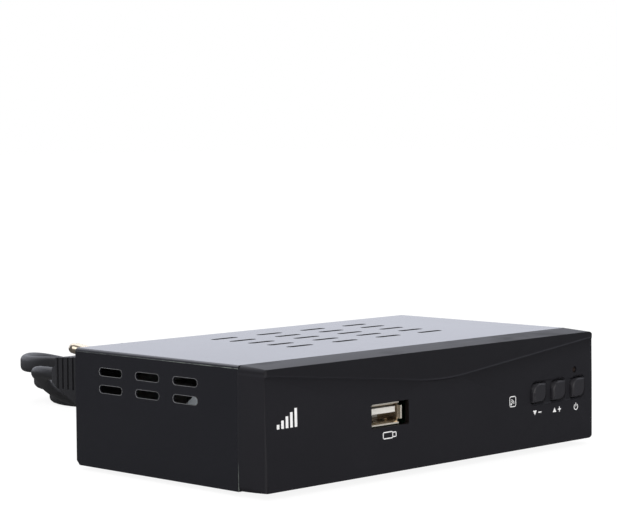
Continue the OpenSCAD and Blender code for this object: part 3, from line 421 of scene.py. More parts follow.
shape = bmesh.new()
rings = strap_rings(shape)
for low, high in zip(rings, rings[1:] + rings[:1]):
    for face in bridge(shape, low, high):
        face.smooth = True
bmesh.ops.recalc_face_normals(shape, faces=shape.faces)
hank_strap = object_from(shape, "hank_strap")
print("strap:", len(hank_strap.data.polygons), "faces")

# %% Cord and strap take their places
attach(mains_cord, "receiver")
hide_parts("cord_lead", "cord_hank", "cord_tail")
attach(hank_strap, "receiver")
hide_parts("cord_tie")

# %% [markdown]
# Real finishes are never one flat colour. Two effects are shared, so each is a shader group: a moulded or
# sprayed grain (fine height, with slow patches of tone) and a drawn grain for rolled or turned metal, whose
# noise is stretched along one axis. Both read Object coordinates, so nothing slides when a key moves.

# %% Shader groups
def noise(tree, where, scale, detail, rough=0.5):
    sizes = {"Scale": scale, "Detail": detail, "Roughness": rough}
    return add(tree, "ShaderNodeTexNoise", {"Vector": where, **sizes}).outputs["Fac"]


def grain_group():
    tree, given = new_group("surface_grain", "ShaderNodeTree", [
        ("Grain scale", "Float", 2500.0), ("Patch scale", "Float", 60.0),
    ], [("Height", "Float"), ("Tone", "Float"), ("Smudge", "Float")])
    where = object_place(tree)
    fine = noise(tree, where, given["Grain scale"], 3.0, 0.6)
    patch = noise(tree, where, given["Patch scale"], 4.0, 0.55)
    tone = mix_value(tree, 0.35, patch, fine)
    add(tree, "NodeGroupOutput", {"Height": fine, "Tone": tone, "Smudge": ramp(tree, patch, 0.5, 0.72)})
    return tree


def drawn_group():
    tree, given = new_group("drawn_metal", "ShaderNodeTree", [
        ("Stretch", "Vector", None), ("Scale", "Float", 900.0),
    ], [("Height", "Float"), ("Tone", "Float")])
    where = object_place(tree)
    drawn = add(tree, "ShaderNodeVectorMath", {0: where, 1: given["Stretch"]}, operation="MULTIPLY")
    lines = noise(tree, drawn.outputs[0], given["Scale"], 5.0, 0.65)
    cloud = noise(tree, where, 120.0, 3.0)
    add(tree, "NodeGroupOutput", {"Height": lines, "Tone": mix_value(tree, 0.4, lines, cloud)})
    return tree


surface_grain = grain_group()
drawn_metal = drawn_group()
print("shader groups:", surface_grain.name, drawn_metal.name)

# %% Tones and grains
def shade(colour, by):
    return tuple(min(1.0, c * by) for c in colour[:3]) + (1.0,)


def toned(tree, tone, colour, spread):
    return mix_colour(tree, tone, shade(colour, 1 - spread), shade(colour, 1 + spread))


def grained(tree, **scales):
    inputs = {name.replace("_", " "): value for name, value in scales.items()}
    return add(tree, "ShaderNodeGroup", inputs, node_tree=surface_grain).outputs


def drawn_out(tree, stretch, scale):
    return add(tree, "ShaderNodeGroup", {"Stretch": stretch, "Scale": scale}, node_tree=drawn_metal).outputs


print("helpers for tones and for the two grains")

# %% Builders for plastics and metals
GRAIN_BUMP, SMUDGE_DULLS = 0.35, 1.18
DRAWN_BUMP, DRAWN_DEPTH = 0.3, 0.008 * MM


def moulded(name, colour, rough, grain=2500.0, depth=0.02 * MM, spread=0.18, specular=0.5, sheen=0.0):
    made, tree = blank_material(name)
    effect = grained(tree, Grain_scale=grain)
    principled(tree, {
        "Base Color": toned(tree, effect["Tone"], colour, spread),
        "Roughness": mix_value(tree, effect["Smudge"], rough, min(1.0, rough * SMUDGE_DULLS)),
        "Normal": bumped(tree, GRAIN_BUMP, depth, effect["Height"]),
        "Specular IOR Level": specular, "Sheen Weight": sheen})
    return made


def metal(name, colour, rough, stretch=(1.0, 1.0, 1.0), scale=900.0, spread=0.12):
    made, tree = blank_material(name)
    effect = drawn_out(tree, stretch, scale)
    principled(tree, {
        "Base Color": toned(tree, effect["Tone"], colour, spread), "Metallic": 1.0,
        "Roughness": mix_value(tree, effect["Tone"], rough * 0.8, min(1.0, rough * 1.25)),
        "Normal": bumped(tree, DRAWN_BUMP, DRAWN_DEPTH, effect["Height"])})
    return made


def dress(material, *names):
    for name in names:
        mesh = nodes[name].data
        mesh.materials.clear()
        mesh.materials.append(material)
    print(material.name, "on", *names)


print("builders for moulded plastic and for drawn metal")

# %% [markdown]
# The cover is steel sheet under satin black paint: nearly black with a blue cast, smooth enough to mirror the
# white sweep at a grazing angle. Paint wears off a fold and a cut edge first, so a thin broken line of bare
# metal runs along the side folds and down the front edges, while the front edge of the lid is a dull dark
# line. The fold's line grows brighter towards the front, in part a painted highlight of the bend, and the
# edge's line is brighter towards the bottom. A shader group makes these masks from the place on the sheet,
# so the wear stays on its edges from all sides.

# %% Wear on the cover's edges
FOLD_BELOW, FOLD_LINE, FRONT_LINE = 1.0 * MM, 0.08 * MM, 0.18 * MM
FOLD_FADE, FOOT_FROM, FOOT_FULL = 70 * MM, 11 * MM, 7.5 * MM
SIDE_FROM, SIDE_FULL = 0.25 * MM, 0.1 * MM
LID_LINE, LID_FULL = 0.4 * MM, 0.3 * MM


def wear_group():
    low, high = corners("cover")
    tree, given = new_group("edge_wear", "ShaderNodeTree", [("Line", "Float", FOLD_LINE)],
                            [("Bare", "Float"), ("Dull", "Float")])
    spot = object_axes(tree)
    side = ramp(tree, maths(tree, "ABSOLUTE", spot["X"]), high.x - SIDE_FROM, high.x - SIDE_FULL)
    off_fold = maths(tree, "ABSOLUTE", minus(tree, spot["Z"], high.z - FOLD_BELOW))
    fold = maths(tree, "LESS_THAN", off_fold, given["Line"])
    from_front = minus(tree, spot["Y"], low.y)
    edge = maths(tree, "LESS_THAN", from_front, FRONT_LINE)
    broken = ramp(tree, noise(tree, object_place(tree), 260.0, 5.0, 0.7), 0.36, 0.6, 0.25, 1.0)
    # painted highlight, in part: the fold's bare line is brighter towards the front
    near = ramp(tree, from_front, FOLD_FADE, 0.0, 0.4, 1.0)
    low_down = ramp(tree, spot["Z"], FOOT_FROM, FOOT_FULL, 0.06, 0.85)
    lines = maths(tree, "ADD", times(tree, fold, near), times(tree, edge, low_down))
    bare = times(tree, times(tree, lines, broken), side)
    lid_edge = ramp(tree, from_front, LID_LINE, LID_FULL)
    add(tree, "NodeGroupOutput", {"Bare": bare, "Dull": times(tree, lid_edge, minus(tree, 1.0, side))})
    return tree


edge_wear = wear_group()
print("wear group:", len(edge_wear.nodes), "nodes")

# %% Paint of the cover
PAINT_DARK, PAINT_PALE = (0.0102, 0.0105, 0.0138, 1.0), (0.0128, 0.0131, 0.0168, 1.0)
BARE_STEEL, SATIN, WORN_ROUGH = (0.19, 0.215, 0.195, 1.0), (0.15, 0.19), 0.9


def cover_finish():
    made, tree = blank_material("cover_paint")
    effect = grained(tree, Grain_scale=1500.0, Patch_scale=25.0)
    worn = add(tree, "ShaderNodeGroup", node_tree=edge_wear).outputs
    paint = mix_colour(tree, effect["Tone"], PAINT_DARK, PAINT_PALE)
    satin = mix_value(tree, effect["Tone"], *SATIN)
    rough = maths(tree, "MAXIMUM", worn["Dull"], worn["Bare"])
    principled(tree, {
        "Base Color": mix_colour(tree, worn["Bare"], paint, BARE_STEEL),
        "Roughness": mix_value(tree, rough, satin, WORN_ROUGH),
        "Normal": bumped(tree, 0.2, 0.01 * MM, effect["Height"])})
    return made


dress(cover_finish(), "cover")

# %% [markdown]
# The crease of the front panel is the line where two faces of the mould meet. Its ridge catches the light,
# so a painted highlight draws it as a thin lighter line, plainer at the right, and a painted shadow of the
# ledge makes a darker strip below it; the band above the crease is painted a little darker too. Two straight
# arms joined by a large arc give the line's height at any place across the panel, and the distance from it
# makes these masks. The walls of the port's opening lie in deep shade, so they are darker too.

# %% Crease and port walls as masks
CREASE_LOW, CREASE_SLOPE, CREASE_R = 29.6 * MM, 0.104, 120 * MM
PORT_OPENING, PORT_SHIFT, WALL_EASE = (16.3 * MM, 7.8 * MM, 0.8 * MM), 1.1 * MM, 0.03 * MM


def middle(node):
    low, high = corners(node)
    return (low + high) / 2


def above_crease(tree, spot):
    arm = math.atan(CREASE_SLOPE)
    out = maths(tree, "ABSOLUTE", spot["X"])
    inner = maths(tree, "MINIMUM", out, CREASE_R * math.sin(arm))
    drop = maths(tree, "SQRT", minus(tree, CREASE_R ** 2, times(tree, inner, inner)))
    bow = minus(tree, CREASE_LOW + CREASE_R / math.cos(arm), drop)
    line = maths(tree, "ADD", bow, times(tree, minus(tree, out, inner), CREASE_SLOPE))
    return minus(tree, spot["Z"], line)


def port_walls(tree, spot):
    mid = middle("port_shell")
    off_x = maths(tree, "ABSOLUTE", minus(tree, spot["X"], mid.x + PORT_SHIFT / 2))
    off_z = maths(tree, "ABSOLUTE", minus(tree, spot["Z"], mid.z))
    wide = maths(tree, "LESS_THAN", off_x, (PORT_OPENING[0] + PORT_SHIFT) / 2 + WALL_EASE)
    return times(tree, wide, maths(tree, "LESS_THAN", off_z, PORT_OPENING[1] / 2 + WALL_EASE))


def within(tree, value, rises, full, falls, ends):
    return times(tree, ramp(tree, value, rises, full), ramp(tree, value, ends, falls))


print("port's middle at", [round(v, 4) for v in middle("port_shell")])

# %% Plastic of the panel
PANEL_COLOUR, PANEL_ROUGH = (0.0122, 0.0118, 0.0156), (0.56, 0.67)
CREASE_HIGHLIGHT, IN_SHADE = (0.046, 0.046, 0.056, 1.0), (0.0045, 0.0025, 0.0018, 1.0)
HIGHLIGHT_BAND = (-0.55 * MM, -0.3 * MM, 0.1 * MM, 0.35 * MM)
LEDGE_SHADOW_BAND = (-6.0 * MM, -1.2 * MM, -0.7 * MM, -0.5 * MM)


def panel_finish():
    made, tree = blank_material("panel_plastic")
    spot = object_axes(tree)
    off = above_crease(tree, spot)
    plain = ramp(tree, spot["X"], -30 * MM, 30 * MM, 0.12, 0.55)
    dark = shade(PANEL_COLOUR, 0.72)
    effect = grained(tree, Grain_scale=3200.0)
    paint = toned(tree, effect["Tone"], PANEL_COLOUR, 0.18)
    # painted shade: the band above the crease is painted a little darker
    paint = mix_colour(tree, ramp(tree, off, 0.2 * MM, 0.6 * MM, 0.0, 0.5), paint, dark)
    # painted shadow: a darker strip below the crease where the ledge shades the face
    paint = mix_colour(tree, times(tree, within(tree, off, *LEDGE_SHADOW_BAND), plain), paint, dark)
    # painted highlight: a lighter line along the crease's ridge, plainer at the right
    paint = mix_colour(tree, times(tree, within(tree, off, *HIGHLIGHT_BAND), plain), paint, CREASE_HIGHLIGHT)
    principled(tree, {
        "Base Color": mix_colour(tree, port_walls(tree, spot), paint, IN_SHADE),
        "Roughness": mix_value(tree, effect["Smudge"], *PANEL_ROUGH),
        "Normal": bumped(tree, GRAIN_BUMP, 0.03 * MM, effect["Height"]),
        "Specular IOR Level": 0.33})
    return made


panel_plastic = panel_finish()
print("panel finish:", len(panel_plastic.node_tree.nodes), "nodes")

# %% [markdown]
# A mould has no sharp outer corner. At the key end of the panel the front face's own corners are well
# rounded, and at the port end they are only eased. The panel is a copy of the CAD node, merged first, from
# which a boolean takes what the cutters fill. A cutter is a stack of rings: a quarter circle that shrinks
# towards the seam for a corner, a rounded outline for the port's opening, which is wider at its right, and a
# circle for the light's hole. Weighted normals then let the large faces stay flat beside the small rounded
# ones.

# %% Helpers for cuts
def evaluated_mesh(holder):
    bpy.context.view_layer.update()
    return bpy.data.meshes.new_from_object(holder.evaluated_get(bpy.context.evaluated_depsgraph_get()))


def apply_modifiers(holder):
    holder.data = evaluated_mesh(holder)
    holder.modifiers.clear()


def cutter_object(stacks):
    shape = bmesh.new()
    for rings in stacks:
        levels = [[shape.verts.new(point) for point in ring] for ring in rings]
        for low, high in zip(levels, levels[1:]):
            bridge(shape, low, high)
        shape.faces.new(levels[0])
        shape.faces.new(levels[-1])
    bmesh.ops.recalc_face_normals(shape, faces=shape.faces)
    return object_from(shape, "cutters")


print("helpers for cutters and their results")

# %% Copies with cuts
MERGE, SHARP = 0.001 * MM, math.radians(20)


def cut_copy(name, node, stacks, material, body):
    shape = bmesh.new()
    shape.from_mesh(nodes[node].data)
    bmesh.ops.remove_doubles(shape, verts=shape.verts, dist=MERGE)
    copy = object_from(shape, name)
    cutters = cutter_object(stacks)
    cut = copy.modifiers.new("cuts", "BOOLEAN")
    cut.object = cutters
    cut.operation = "DIFFERENCE"
    cut.solver = "EXACT"
    apply_modifiers(copy)
    bpy.data.objects.remove(cutters)
    copy.data.shade_smooth()
    copy.data.set_sharp_from_angle(angle=SHARP)
    flat = copy.modifiers.new("flat_faces", "WEIGHTED_NORMAL")
    flat.keep_sharp = True
    flat.weight = 100
    apply_modifiers(copy)
    copy.data.name = name
    copy.data.materials.clear()
    copy.data.materials.append(material)
    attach(copy, body)
    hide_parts(node)
    print(name, len(copy.data.polygons), "faces")


print("copies are merged at", MERGE, "m and stay sharp past", round(math.degrees(SHARP)), "degrees")

# %% Outlines of the cutters
def arc(x, z, r, start, stop, steps):
    turns = [math.radians(start + (stop - start) * i / steps) for i in range(steps + 1)]
    return [(x + r * math.cos(a), z + r * math.sin(a)) for a in turns]


def disc(x, z, r):
    return arc(x, z, r, 0, 345, 23)


def rounded_outline(x, z, w, h, r):
    points = []
    for cx, cz, a in ((1, 1, 0), (-1, 1, 90), (-1, -1, 180), (1, -1, 270)):
        points += arc(x + cx * (w / 2 - r), z + cz * (h / 2 - r), r, a, a + 90, 5)
    return points


print("a disc has", len(disc(0, 0, 1)), "points, a rounded outline", len(rounded_outline(0, 0, 2, 2, 1)))

# %% Panel with rounded ends
panel_low, panel_high = corners("front_panel")
FRONT_Y, SEAM_Y = -50.5 * MM, -38.4 * MM
FRONT_AND_SEAM_Z = {1: (39.8 * MM, panel_high.z), -1: (2.2 * MM, panel_low.z)}
END_ROUNDING, SEAM_SHRINK = {1: 2.6 * MM, -1: 0.6 * MM}, 0.42
LIGHT_HOLE_R = 1.15 * MM
WALL_CUT = (panel_low.y - 1 * MM, panel_low.y + 5 * MM)
CLEAR = 2 * MM


def end_corner(end, front_r, side, front_z, seam_z):
    rings = []
    for share in (-0.2, 0.0, 0.5, 1.0):
        z = front_z + (seam_z - front_z) * share
        r = front_r * (1.0 - SEAM_SHRINK * max(share, 0.0))
        x = panel_high.x - r
        outside = panel_high.x + CLEAR
        ring = arc(x, -r, r, 0, 90, 10) + [(x, CLEAR), (outside, CLEAR), (outside, -r)]
        y = FRONT_Y + (SEAM_Y - FRONT_Y) * share
        rings.append([(end * px, y, z + side * pz) for px, pz in ring])
    return rings


ends = [end_corner(end, r, side, *heights)
        for end, r in END_ROUNDING.items() for side, heights in FRONT_AND_SEAM_Z.items()]
light, port = middle("standby_light"), middle("port_shell")
outlines = [rounded_outline(port.x + PORT_SHIFT, port.z, *PORT_OPENING), disc(light.x, light.z, LIGHT_HOLE_R)]
openings = [[[(x, y, z) for x, z in outline] for y in WALL_CUT] for outline in outlines]
cut_copy("panel_moulding", "front_panel", ends + openings, panel_plastic, "receiver")

# %% [markdown]
# Each key is leaf shaped: two opposite corners have a large round, and its front edge has a small bevel. The
# cutters follow both, so the bevel runs on round the corner. The keys are moulded like the panel, with the
# same fine grain, and are one tone lighter.

# %% Keys
KEY_ROUND, KEY_BEVEL, KEY_DEEP, KEY_AHEAD = 3.1 * MM, 0.5 * MM, 2.4 * MM, 0.2 * MM


def leaf_corners(node):
    low, high = corners(node)
    mid, reach, far = middle(node), (high.x - low.x) / 2 - KEY_ROUND, KEY_ROUND + CLEAR
    stacks = []
    for s in (1, -1):
        rings = []
        for deep, inset in ((-KEY_AHEAD, KEY_AHEAD + KEY_BEVEL), (KEY_BEVEL, 0.0), (KEY_DEEP, 0.0)):
            ring = arc(0, 0, KEY_ROUND - inset, 0, 90, 10) + [(0, far), (far, far), (far, 0)]
            y = low.y + deep
            rings.append([(mid.x + s * (reach + px), y, mid.z - s * (reach + pz)) for px, pz in ring])
        stacks.append(rings)
    return stacks


key_plastic = moulded("key_plastic", (0.0235, 0.0228, 0.0272), 0.45, grain=3200.0, depth=0.03 * MM,
                      specular=0.4)
for way in ("down", "up", "power"):
    key = "key_" + way
    cut_copy("key_cap_" + way, key, leaf_corners(key), key_plastic, way + "_key")

# %% [markdown]
# The memory port's shell is folded from nickel-plated sheet. Its lip is notched at its corners, where the
# real sheet is bent outwards on each side, and the cutters are plain blocks. The cut rim is paler than the
# plating and hardly metallic, in part a painted highlight of the light from the front, and the inside is
# painted darker with depth as painted shade, so the finish mixes three tones by the distance from the rim.

# %% Shell of the memory port
NOTCH, NOTCH_LEFT, LIP_DEEP, LIP_CLEAR = 1.4 * MM, 1.4 * MM / 3, 1.1 * MM, 0.5 * MM
PLATE_DARK, PLATE_PALE = (0.60, 0.50, 0.37, 1.0), (0.76, 0.65, 0.50, 1.0)
PLATE_PAINTED_SHADE, BARE_RIM_AND_HIGHLIGHT = (0.36, 0.28, 0.19, 1.0), (0.66, 0.63, 0.56, 1.0)


def lip_notches():
    low, high = corners("port_shell")
    levels = (low.y - LIP_CLEAR, low.y + LIP_DEEP)
    stacks = []
    for x0, x1 in ((low.x - LIP_CLEAR, low.x + NOTCH_LEFT), (high.x - NOTCH, high.x + LIP_CLEAR)):
        for z0, z1 in ((low.z - LIP_CLEAR, low.z + NOTCH), (high.z - NOTCH, high.z + LIP_CLEAR)):
            stacks.append([[(x0, y, z0), (x1, y, z0), (x1, y, z1), (x0, y, z1)] for y in levels])
    return stacks


def port_finish():
    front = corners("port_shell")[0].y
    made, tree = blank_material("port_nickel")
    y = object_axes(tree)["Y"]
    effect = drawn_out(tree, (1.0, 0.08, 1.0), 1400.0)
    rim = ramp(tree, y, front + 0.14 * MM, front + 0.08 * MM)
    plate = mix_colour(tree, effect["Tone"], PLATE_DARK, PLATE_PALE)
    # painted shade: the plating is painted darker deeper inside the port
    plate = mix_colour(tree, ramp(tree, y, front + 0.8 * MM, front + 5 * MM), plate, PLATE_PAINTED_SHADE)
    principled(tree, {
        # the pale, hardly metallic rim is partly bare cut edge and partly a painted highlight of the front
        # light
        "Base Color": mix_colour(tree, rim, plate, BARE_RIM_AND_HIGHLIGHT),
        "Metallic": mix_value(tree, rim, 1.0, 0.15),
        "Roughness": mix_value(tree, effect["Tone"], 0.19, 0.3),
        "Normal": bumped(tree, DRAWN_BUMP, DRAWN_DEPTH, effect["Height"])})
    return made


cut_copy("port_lip", "port_shell", lip_notches(), port_finish(), "receiver")

# %% [markdown]
# Three pieces need trees of their own: the boards, where the copper tracks show as lighter green lines under
# the lacquer, the fuse with its glass tube between two nickel caps, and the capacitors, whose pale sleeve
# carries a painted shadow with a slanted edge, where a slot's edge shades it, and which leave the aluminium
# top bare. Position alone tells these zones apart, so no face has to be picked by hand.

# %% Boards
LACQUER_DARK, LACQUER_PALE = (0.006, 0.05, 0.02, 1.0), (0.012, 0.085, 0.034, 1.0)
TRACK_GREEN = (0.03, 0.15, 0.06, 1.0)
TRACKS = {"Scale": 330.0, "Mortar Size": 0.035, "Mortar Smooth": 0.2, "Brick Width": 1.3, "Row Height": 0.5}


def board_finish():
    made, tree = blank_material("board_lacquer")
    effect = grained(tree, Grain_scale=1800.0)
    tracks = add(tree, "ShaderNodeTexBrick", {"Vector": object_place(tree), **TRACKS}, offset=0.3)
    lines = ramp(tree, tracks.outputs["Fac"], 0.3, 0.7)
    ground = mix_colour(tree, effect["Tone"], LACQUER_DARK, LACQUER_PALE)
    height = maths(tree, "ADD", effect["Height"], lines)
    principled(tree, {
        "Base Color": mix_colour(tree, lines, ground, TRACK_GREEN), "Roughness": 0.3,
        "Normal": bumped(tree, 0.4, 0.03 * MM, height)})
    return made


dress(board_finish(), "front_board", "main_board", "power_board")

# %% Fuse
TUBE_DARK, TUBE_PALE = (0.55, 0.56, 0.54, 1.0), (0.72, 0.73, 0.7, 1.0)
CAP_COLOUR, CAP_FROM, CAP_TO = (0.62, 0.6, 0.55, 1.0), 6.95 * MM, 7.05 * MM


def fuse_finish():
    made, tree = blank_material("fuse_glass")
    off = maths(tree, "ABSOLUTE", minus(tree, object_axes(tree)["Y"], middle("fuse").y))
    cap = ramp(tree, off, CAP_FROM, CAP_TO)
    tube = mix_colour(tree, grained(tree)["Tone"], TUBE_DARK, TUBE_PALE)
    principled(tree, {
        "Base Color": mix_colour(tree, cap, tube, CAP_COLOUR),
        "Roughness": mix_value(tree, cap, 0.08, 0.28), "Metallic": cap})
    return made


dress(fuse_finish(), "fuse")

# %% Capacitors
FILM_DARK, FILM_PALE = (0.80, 0.88, 0.96, 1.0), (0.88, 0.94, 0.99, 1.0)
SLOT_SHADOW_COLOUR, TOP_COLOUR = (0.008, 0.0085, 0.0095, 1.0), (0.7, 0.7, 0.71, 1.0)
SLOT_SHADOW_WAY, SLOT_SHADOW_Z, SLOT_SHADOW_SLOPE = (0.741, 0.672), 24.6 * MM, 0.85


def capacitor_finish(name):
    low, high = corners(name)
    mid, radius = middle(name), (high.x - low.x) / 2
    made, tree = blank_material(name + "_finish")
    spot = object_axes(tree)
    effect = grained(tree, Grain_scale=1100.0)
    across, along = minus(tree, spot["X"], mid.x), minus(tree, spot["Y"], mid.y)
    reach = maths(tree, "ADD", times(tree, across, across), times(tree, along, along))
    inside = ramp(tree, maths(tree, "SQRT", reach), radius * 0.86, radius * 0.84)
    lid = times(tree, ramp(tree, spot["Z"], high.z - 0.3 * MM, high.z - 0.2 * MM), inside)
    # painted shadow: a dark area with a slanted edge stands for a slot edge's shadow on the sleeve
    inward = minus(tree, times(tree, across, SLOT_SHADOW_WAY[0]), times(tree, along, SLOT_SHADOW_WAY[1]))
    slant = times(tree, minus(tree, spot["Z"], SLOT_SHADOW_Z), SLOT_SHADOW_SLOPE)
    slot_shadow = maths(tree, "LESS_THAN", maths(tree, "ADD", inward, radius), slant)
    film = mix_colour(tree, effect["Tone"], FILM_DARK, FILM_PALE)
    film = mix_colour(tree, slot_shadow, film, SLOT_SHADOW_COLOUR)
    principled(tree, {
        "Base Color": mix_colour(tree, lid, film, TOP_COLOUR),
        "Roughness": mix_value(tree, lid, 0.3, 0.22), "Metallic": lid,
        "Normal": bumped(tree, 0.3, 0.02 * MM, effect["Height"])})
    return made


for name in ("main_capacitor", "output_capacitor_1", "output_capacitor_2"):
    dress(capacitor_finish(name), name)

# %% [markdown]
# The other pieces are plain plastics and metals, so each takes one of the two builders with its own colour,
# roughness and grain. The cord is smoother than its plug, and the strap is dull, with a little sheen from its
# loose fibres. Metals stretch the grain along the way they were drawn: across the tray, which is plated sheet
# with a rolled grain, and along the sockets and pins, which are turned.

# %% Plastics
dress(moulded("black_plastic", (0.012, 0.012, 0.012), 0.5, grain=1800.0),
      "switch_down", "switch_up", "switch_power", "main_chip", "av_tongue", "tv_socket")
dress(moulded("white_plastic", (0.88, 0.86, 0.80), 0.4, grain=2600.0, spread=0.05),
      "port_tongue", "aerial_discs", "plunger_down", "plunger_up", "plunger_power")
# the light's lens is a dark red-brown, darkened further as painted shade so it reads as a dark hole
dress(moulded("lamp_plastic", (0.017, 0.009, 0.006), 0.25, spread=0.1), "standby_light")
dress(moulded("eye_plastic", (0.012, 0.008, 0.012), 0.15, spread=0.2), "eye")
dress(moulded("ribbon_plastic", (0.72, 0.72, 0.69), 0.45, grain=1200.0, spread=0.06), "board_link")
dress(moulded("foot_rubber", (0.012, 0.012, 0.012), 0.75, grain=1300.0, depth=0.05 * MM),
      "foot_front_left", "foot_front_right", "foot_rear_left", "foot_rear_right")
dress(moulded("plug_plastic", (0.0150, 0.0152, 0.0175), 0.5, grain=2200.0, depth=0.04 * MM, specular=0.4),
      "bend_relief", "plug_body", "plug_sleeve_1", "plug_sleeve_2")
dress(moulded("ferrite", (0.045, 0.042, 0.042), 0.7, grain=2000.0, depth=0.06 * MM), "transformer_core")
dress(moulded("coil_tape", (0.6, 0.42, 0.06), 0.35, grain=700.0, spread=0.1), "transformer_coil")
cord_plastic = moulded("cord_plastic", (0.0175, 0.0177, 0.0202), 0.45, grain=1600.0, depth=0.03 * MM,
                       specular=0.4)
mains_cord.data.materials.append(cord_plastic)
strap_weave = moulded("strap_weave", (0.014, 0.014, 0.014), 0.85, grain=2800.0, depth=0.1 * MM, sheen=0.3)
hank_strap.data.materials.append(strap_weave)
print("cord and strap have", cord_plastic.name, "and", strap_weave.name)

# %% Metals
dress(metal("tray_steel", (0.56, 0.57, 0.58), 0.36, stretch=(0.05, 1.0, 1.0), scale=700.0), "chassis")
dress(metal("nickel", (0.68, 0.60, 0.48), 0.24, stretch=(1.0, 0.08, 1.0), scale=1400.0),
      "aerial_socket", "loop_plug", "av_shell", "plug_pin_1", "plug_pin_2")
dress(metal("tin", (0.66, 0.67, 0.69), 0.3, stretch=(1.0, 1.0, 0.1)), "tuner")
dress(metal("gilt", (0.8, 0.6, 0.28), 0.25, spread=0.08),
      "port_contacts", "aerial_contact", "loop_pin", "tv_contacts")
dress(metal("screw_steel", (0.6, 0.6, 0.59), 0.3, scale=1500.0),
      "board_screws", "panel_screws", "case_screws")
dress(metal("stud_brass", (0.62, 0.46, 0.2), 0.3, stretch=(1.0, 1.0, 6.0)), "pillars")
dress(metal("heat_sink_metal", (0.62, 0.64, 0.67), 0.34, stretch=(1.0, 0.05, 1.0)), "heat_sink")

# %% [markdown]
# Slots are punched through the sheet, so the cut edges are bare metal. At the sides the edge catches the
# light and draws a thin bright line in each slot, while in the lid the edges are lined near-black as painted
# shade.
# The edge is a thin lining that repeats over a grid: a geometry tree makes one rounded outline, gives it a
# depth and a wall, and puts it on every slot. The result is then made a plain mesh, because the export drops
# live instances.

# %% Geometry tree for the slot edges
END_ROUND, END_POINTS = 0.499, 6


def slot_edge_tree():
    tree, size = new_group("slot_edges", "GeometryNodeTree", [
        ("Length", "Float", 11.6 * MM), ("Width", "Float", 2.7 * MM), ("Depth", "Float", 0.8 * MM),
        ("Wall", "Float", 0.1 * MM), ("Columns", "Int", 4), ("Rows", "Int", 5),
        ("Column pitch", "Float", 20 * MM), ("Row pitch", "Float", 10 * MM),
        ("Place", "Vector", None), ("Turn", "Vector", None), ("Finish", "Material", None),
    ], [("Geometry", "Geometry")])

    def rectangle(width, height):
        sizes = {"Width": width, "Height": height}
        return add(tree, "GeometryNodeCurvePrimitiveQuadrilateral", sizes).outputs[0]

    def extent(count, step):
        return times(tree, minus(tree, count, 1.0), step)

    rounded = add(tree, "GeometryNodeFilletCurve", {
        "Curve": rectangle(size["Length"], size["Width"]), "Count": END_POINTS,
        "Radius": times(tree, size["Width"], END_ROUND)}, mode="POLY").outputs[0]
    wall = rectangle(size["Wall"], size["Depth"])
    edge = add(tree, "GeometryNodeCurveToMesh", {"Curve": rounded, "Profile Curve": wall}).outputs[0]
    grid = add(tree, "GeometryNodeMeshGrid", {
        "Size X": extent(size["Columns"], size["Column pitch"]), "Vertices X": size["Columns"],
        "Size Y": extent(size["Rows"], size["Row pitch"]), "Vertices Y": size["Rows"]}).outputs["Mesh"]
    spread = add(tree, "GeometryNodeInstanceOnPoints", {"Points": grid, "Instance": edge}).outputs[0]
    placed = add(tree, "GeometryNodeTransform", {
        "Geometry": spread, "Translation": size["Place"], "Rotation": size["Turn"]}).outputs[0]
    real = add(tree, "GeometryNodeRealizeInstances", {"Geometry": placed}).outputs[0]
    dressed = add(tree, "GeometryNodeSetMaterial", {"Geometry": real, "Material": size["Finish"]}).outputs[0]
    add(tree, "NodeGroupOutput", {"Geometry": dressed})
    return tree


slot_edges = slot_edge_tree()
print("slot edge tree:", len(slot_edges.nodes), "nodes")

# %% A geometry tree made a plain mesh
def grown(name, tree, values):
    holder = bpy.data.objects.new(name + "_tree", bpy.data.meshes.new(name + "_tree"))
    scene.collection.objects.link(holder)
    modifier = holder.modifiers.new(name, "NODES")
    modifier.node_group = tree
    for item in tree.interface.items_tree:
        if item.in_out == "INPUT" and item.name in values:
            modifier[item.identifier] = values[item.name]
    mesh = evaluated_mesh(holder)
    mesh.name = name
    bpy.data.objects.remove(holder)
    made = bpy.data.objects.new(name, mesh)
    scene.collection.objects.link(made)
    return made


print("helper for plain meshes from a tree")

# %% Slot edges in place
raw_edge = moulded("raw_edge", (0.26, 0.265, 0.275), 0.5, grain=2600.0, spread=0.2)
# painted shade: the lid's bare cut edges are lined near-black
shaded_edge = moulded("shaded_edge", (0.010, 0.010, 0.011), 0.7, grain=2000.0)
TOP_SLOTS = {
    "Length": 11.5 * MM, "Width": 2.6 * MM, "Depth": 0.76 * MM, "Wall": 0.06 * MM, "Finish": shaded_edge,
    "Columns": 4, "Rows": 5, "Column pitch": 21.36 * MM, "Row pitch": 9.1845 * MM, "Turn": (0.0, 0.0, 0.0)}
SIDE_SLOTS = {
    "Length": 11.56 * MM, "Width": 2.66 * MM, "Depth": 0.12 * MM, "Wall": 0.09 * MM, "Finish": raw_edge,
    "Columns": 3, "Rows": 2, "Column pitch": 18.1335 * MM, "Row pitch": 5.65 * MM,
    "Turn": (math.pi / 2, 0.0, math.pi / 2)}
HALF_SHEET, HALF_RIM = 0.4 * MM, 0.05 * MM
TOP_X, TOP_Y, SIDE_Y, SIDE_Z = 5.44 * MM, 7.13 * MM, 3.99 * MM, 30.575 * MM
cover_low, cover_high = corners("cover")
for face, slots, at in (
    ("top", TOP_SLOTS, (TOP_X, TOP_Y, cover_high.z - HALF_SHEET)),
    ("left", SIDE_SLOTS, (cover_low.x + HALF_RIM, SIDE_Y, SIDE_Z)),
    ("right", SIDE_SLOTS, (cover_high.x - HALF_RIM, SIDE_Y, SIDE_Z)),
):
    made = grown(face + "_slot_edges", slot_edges, {**slots, "Place": at})
    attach(made, "receiver")
    print(made.name, len(made.data.polygons), "faces")

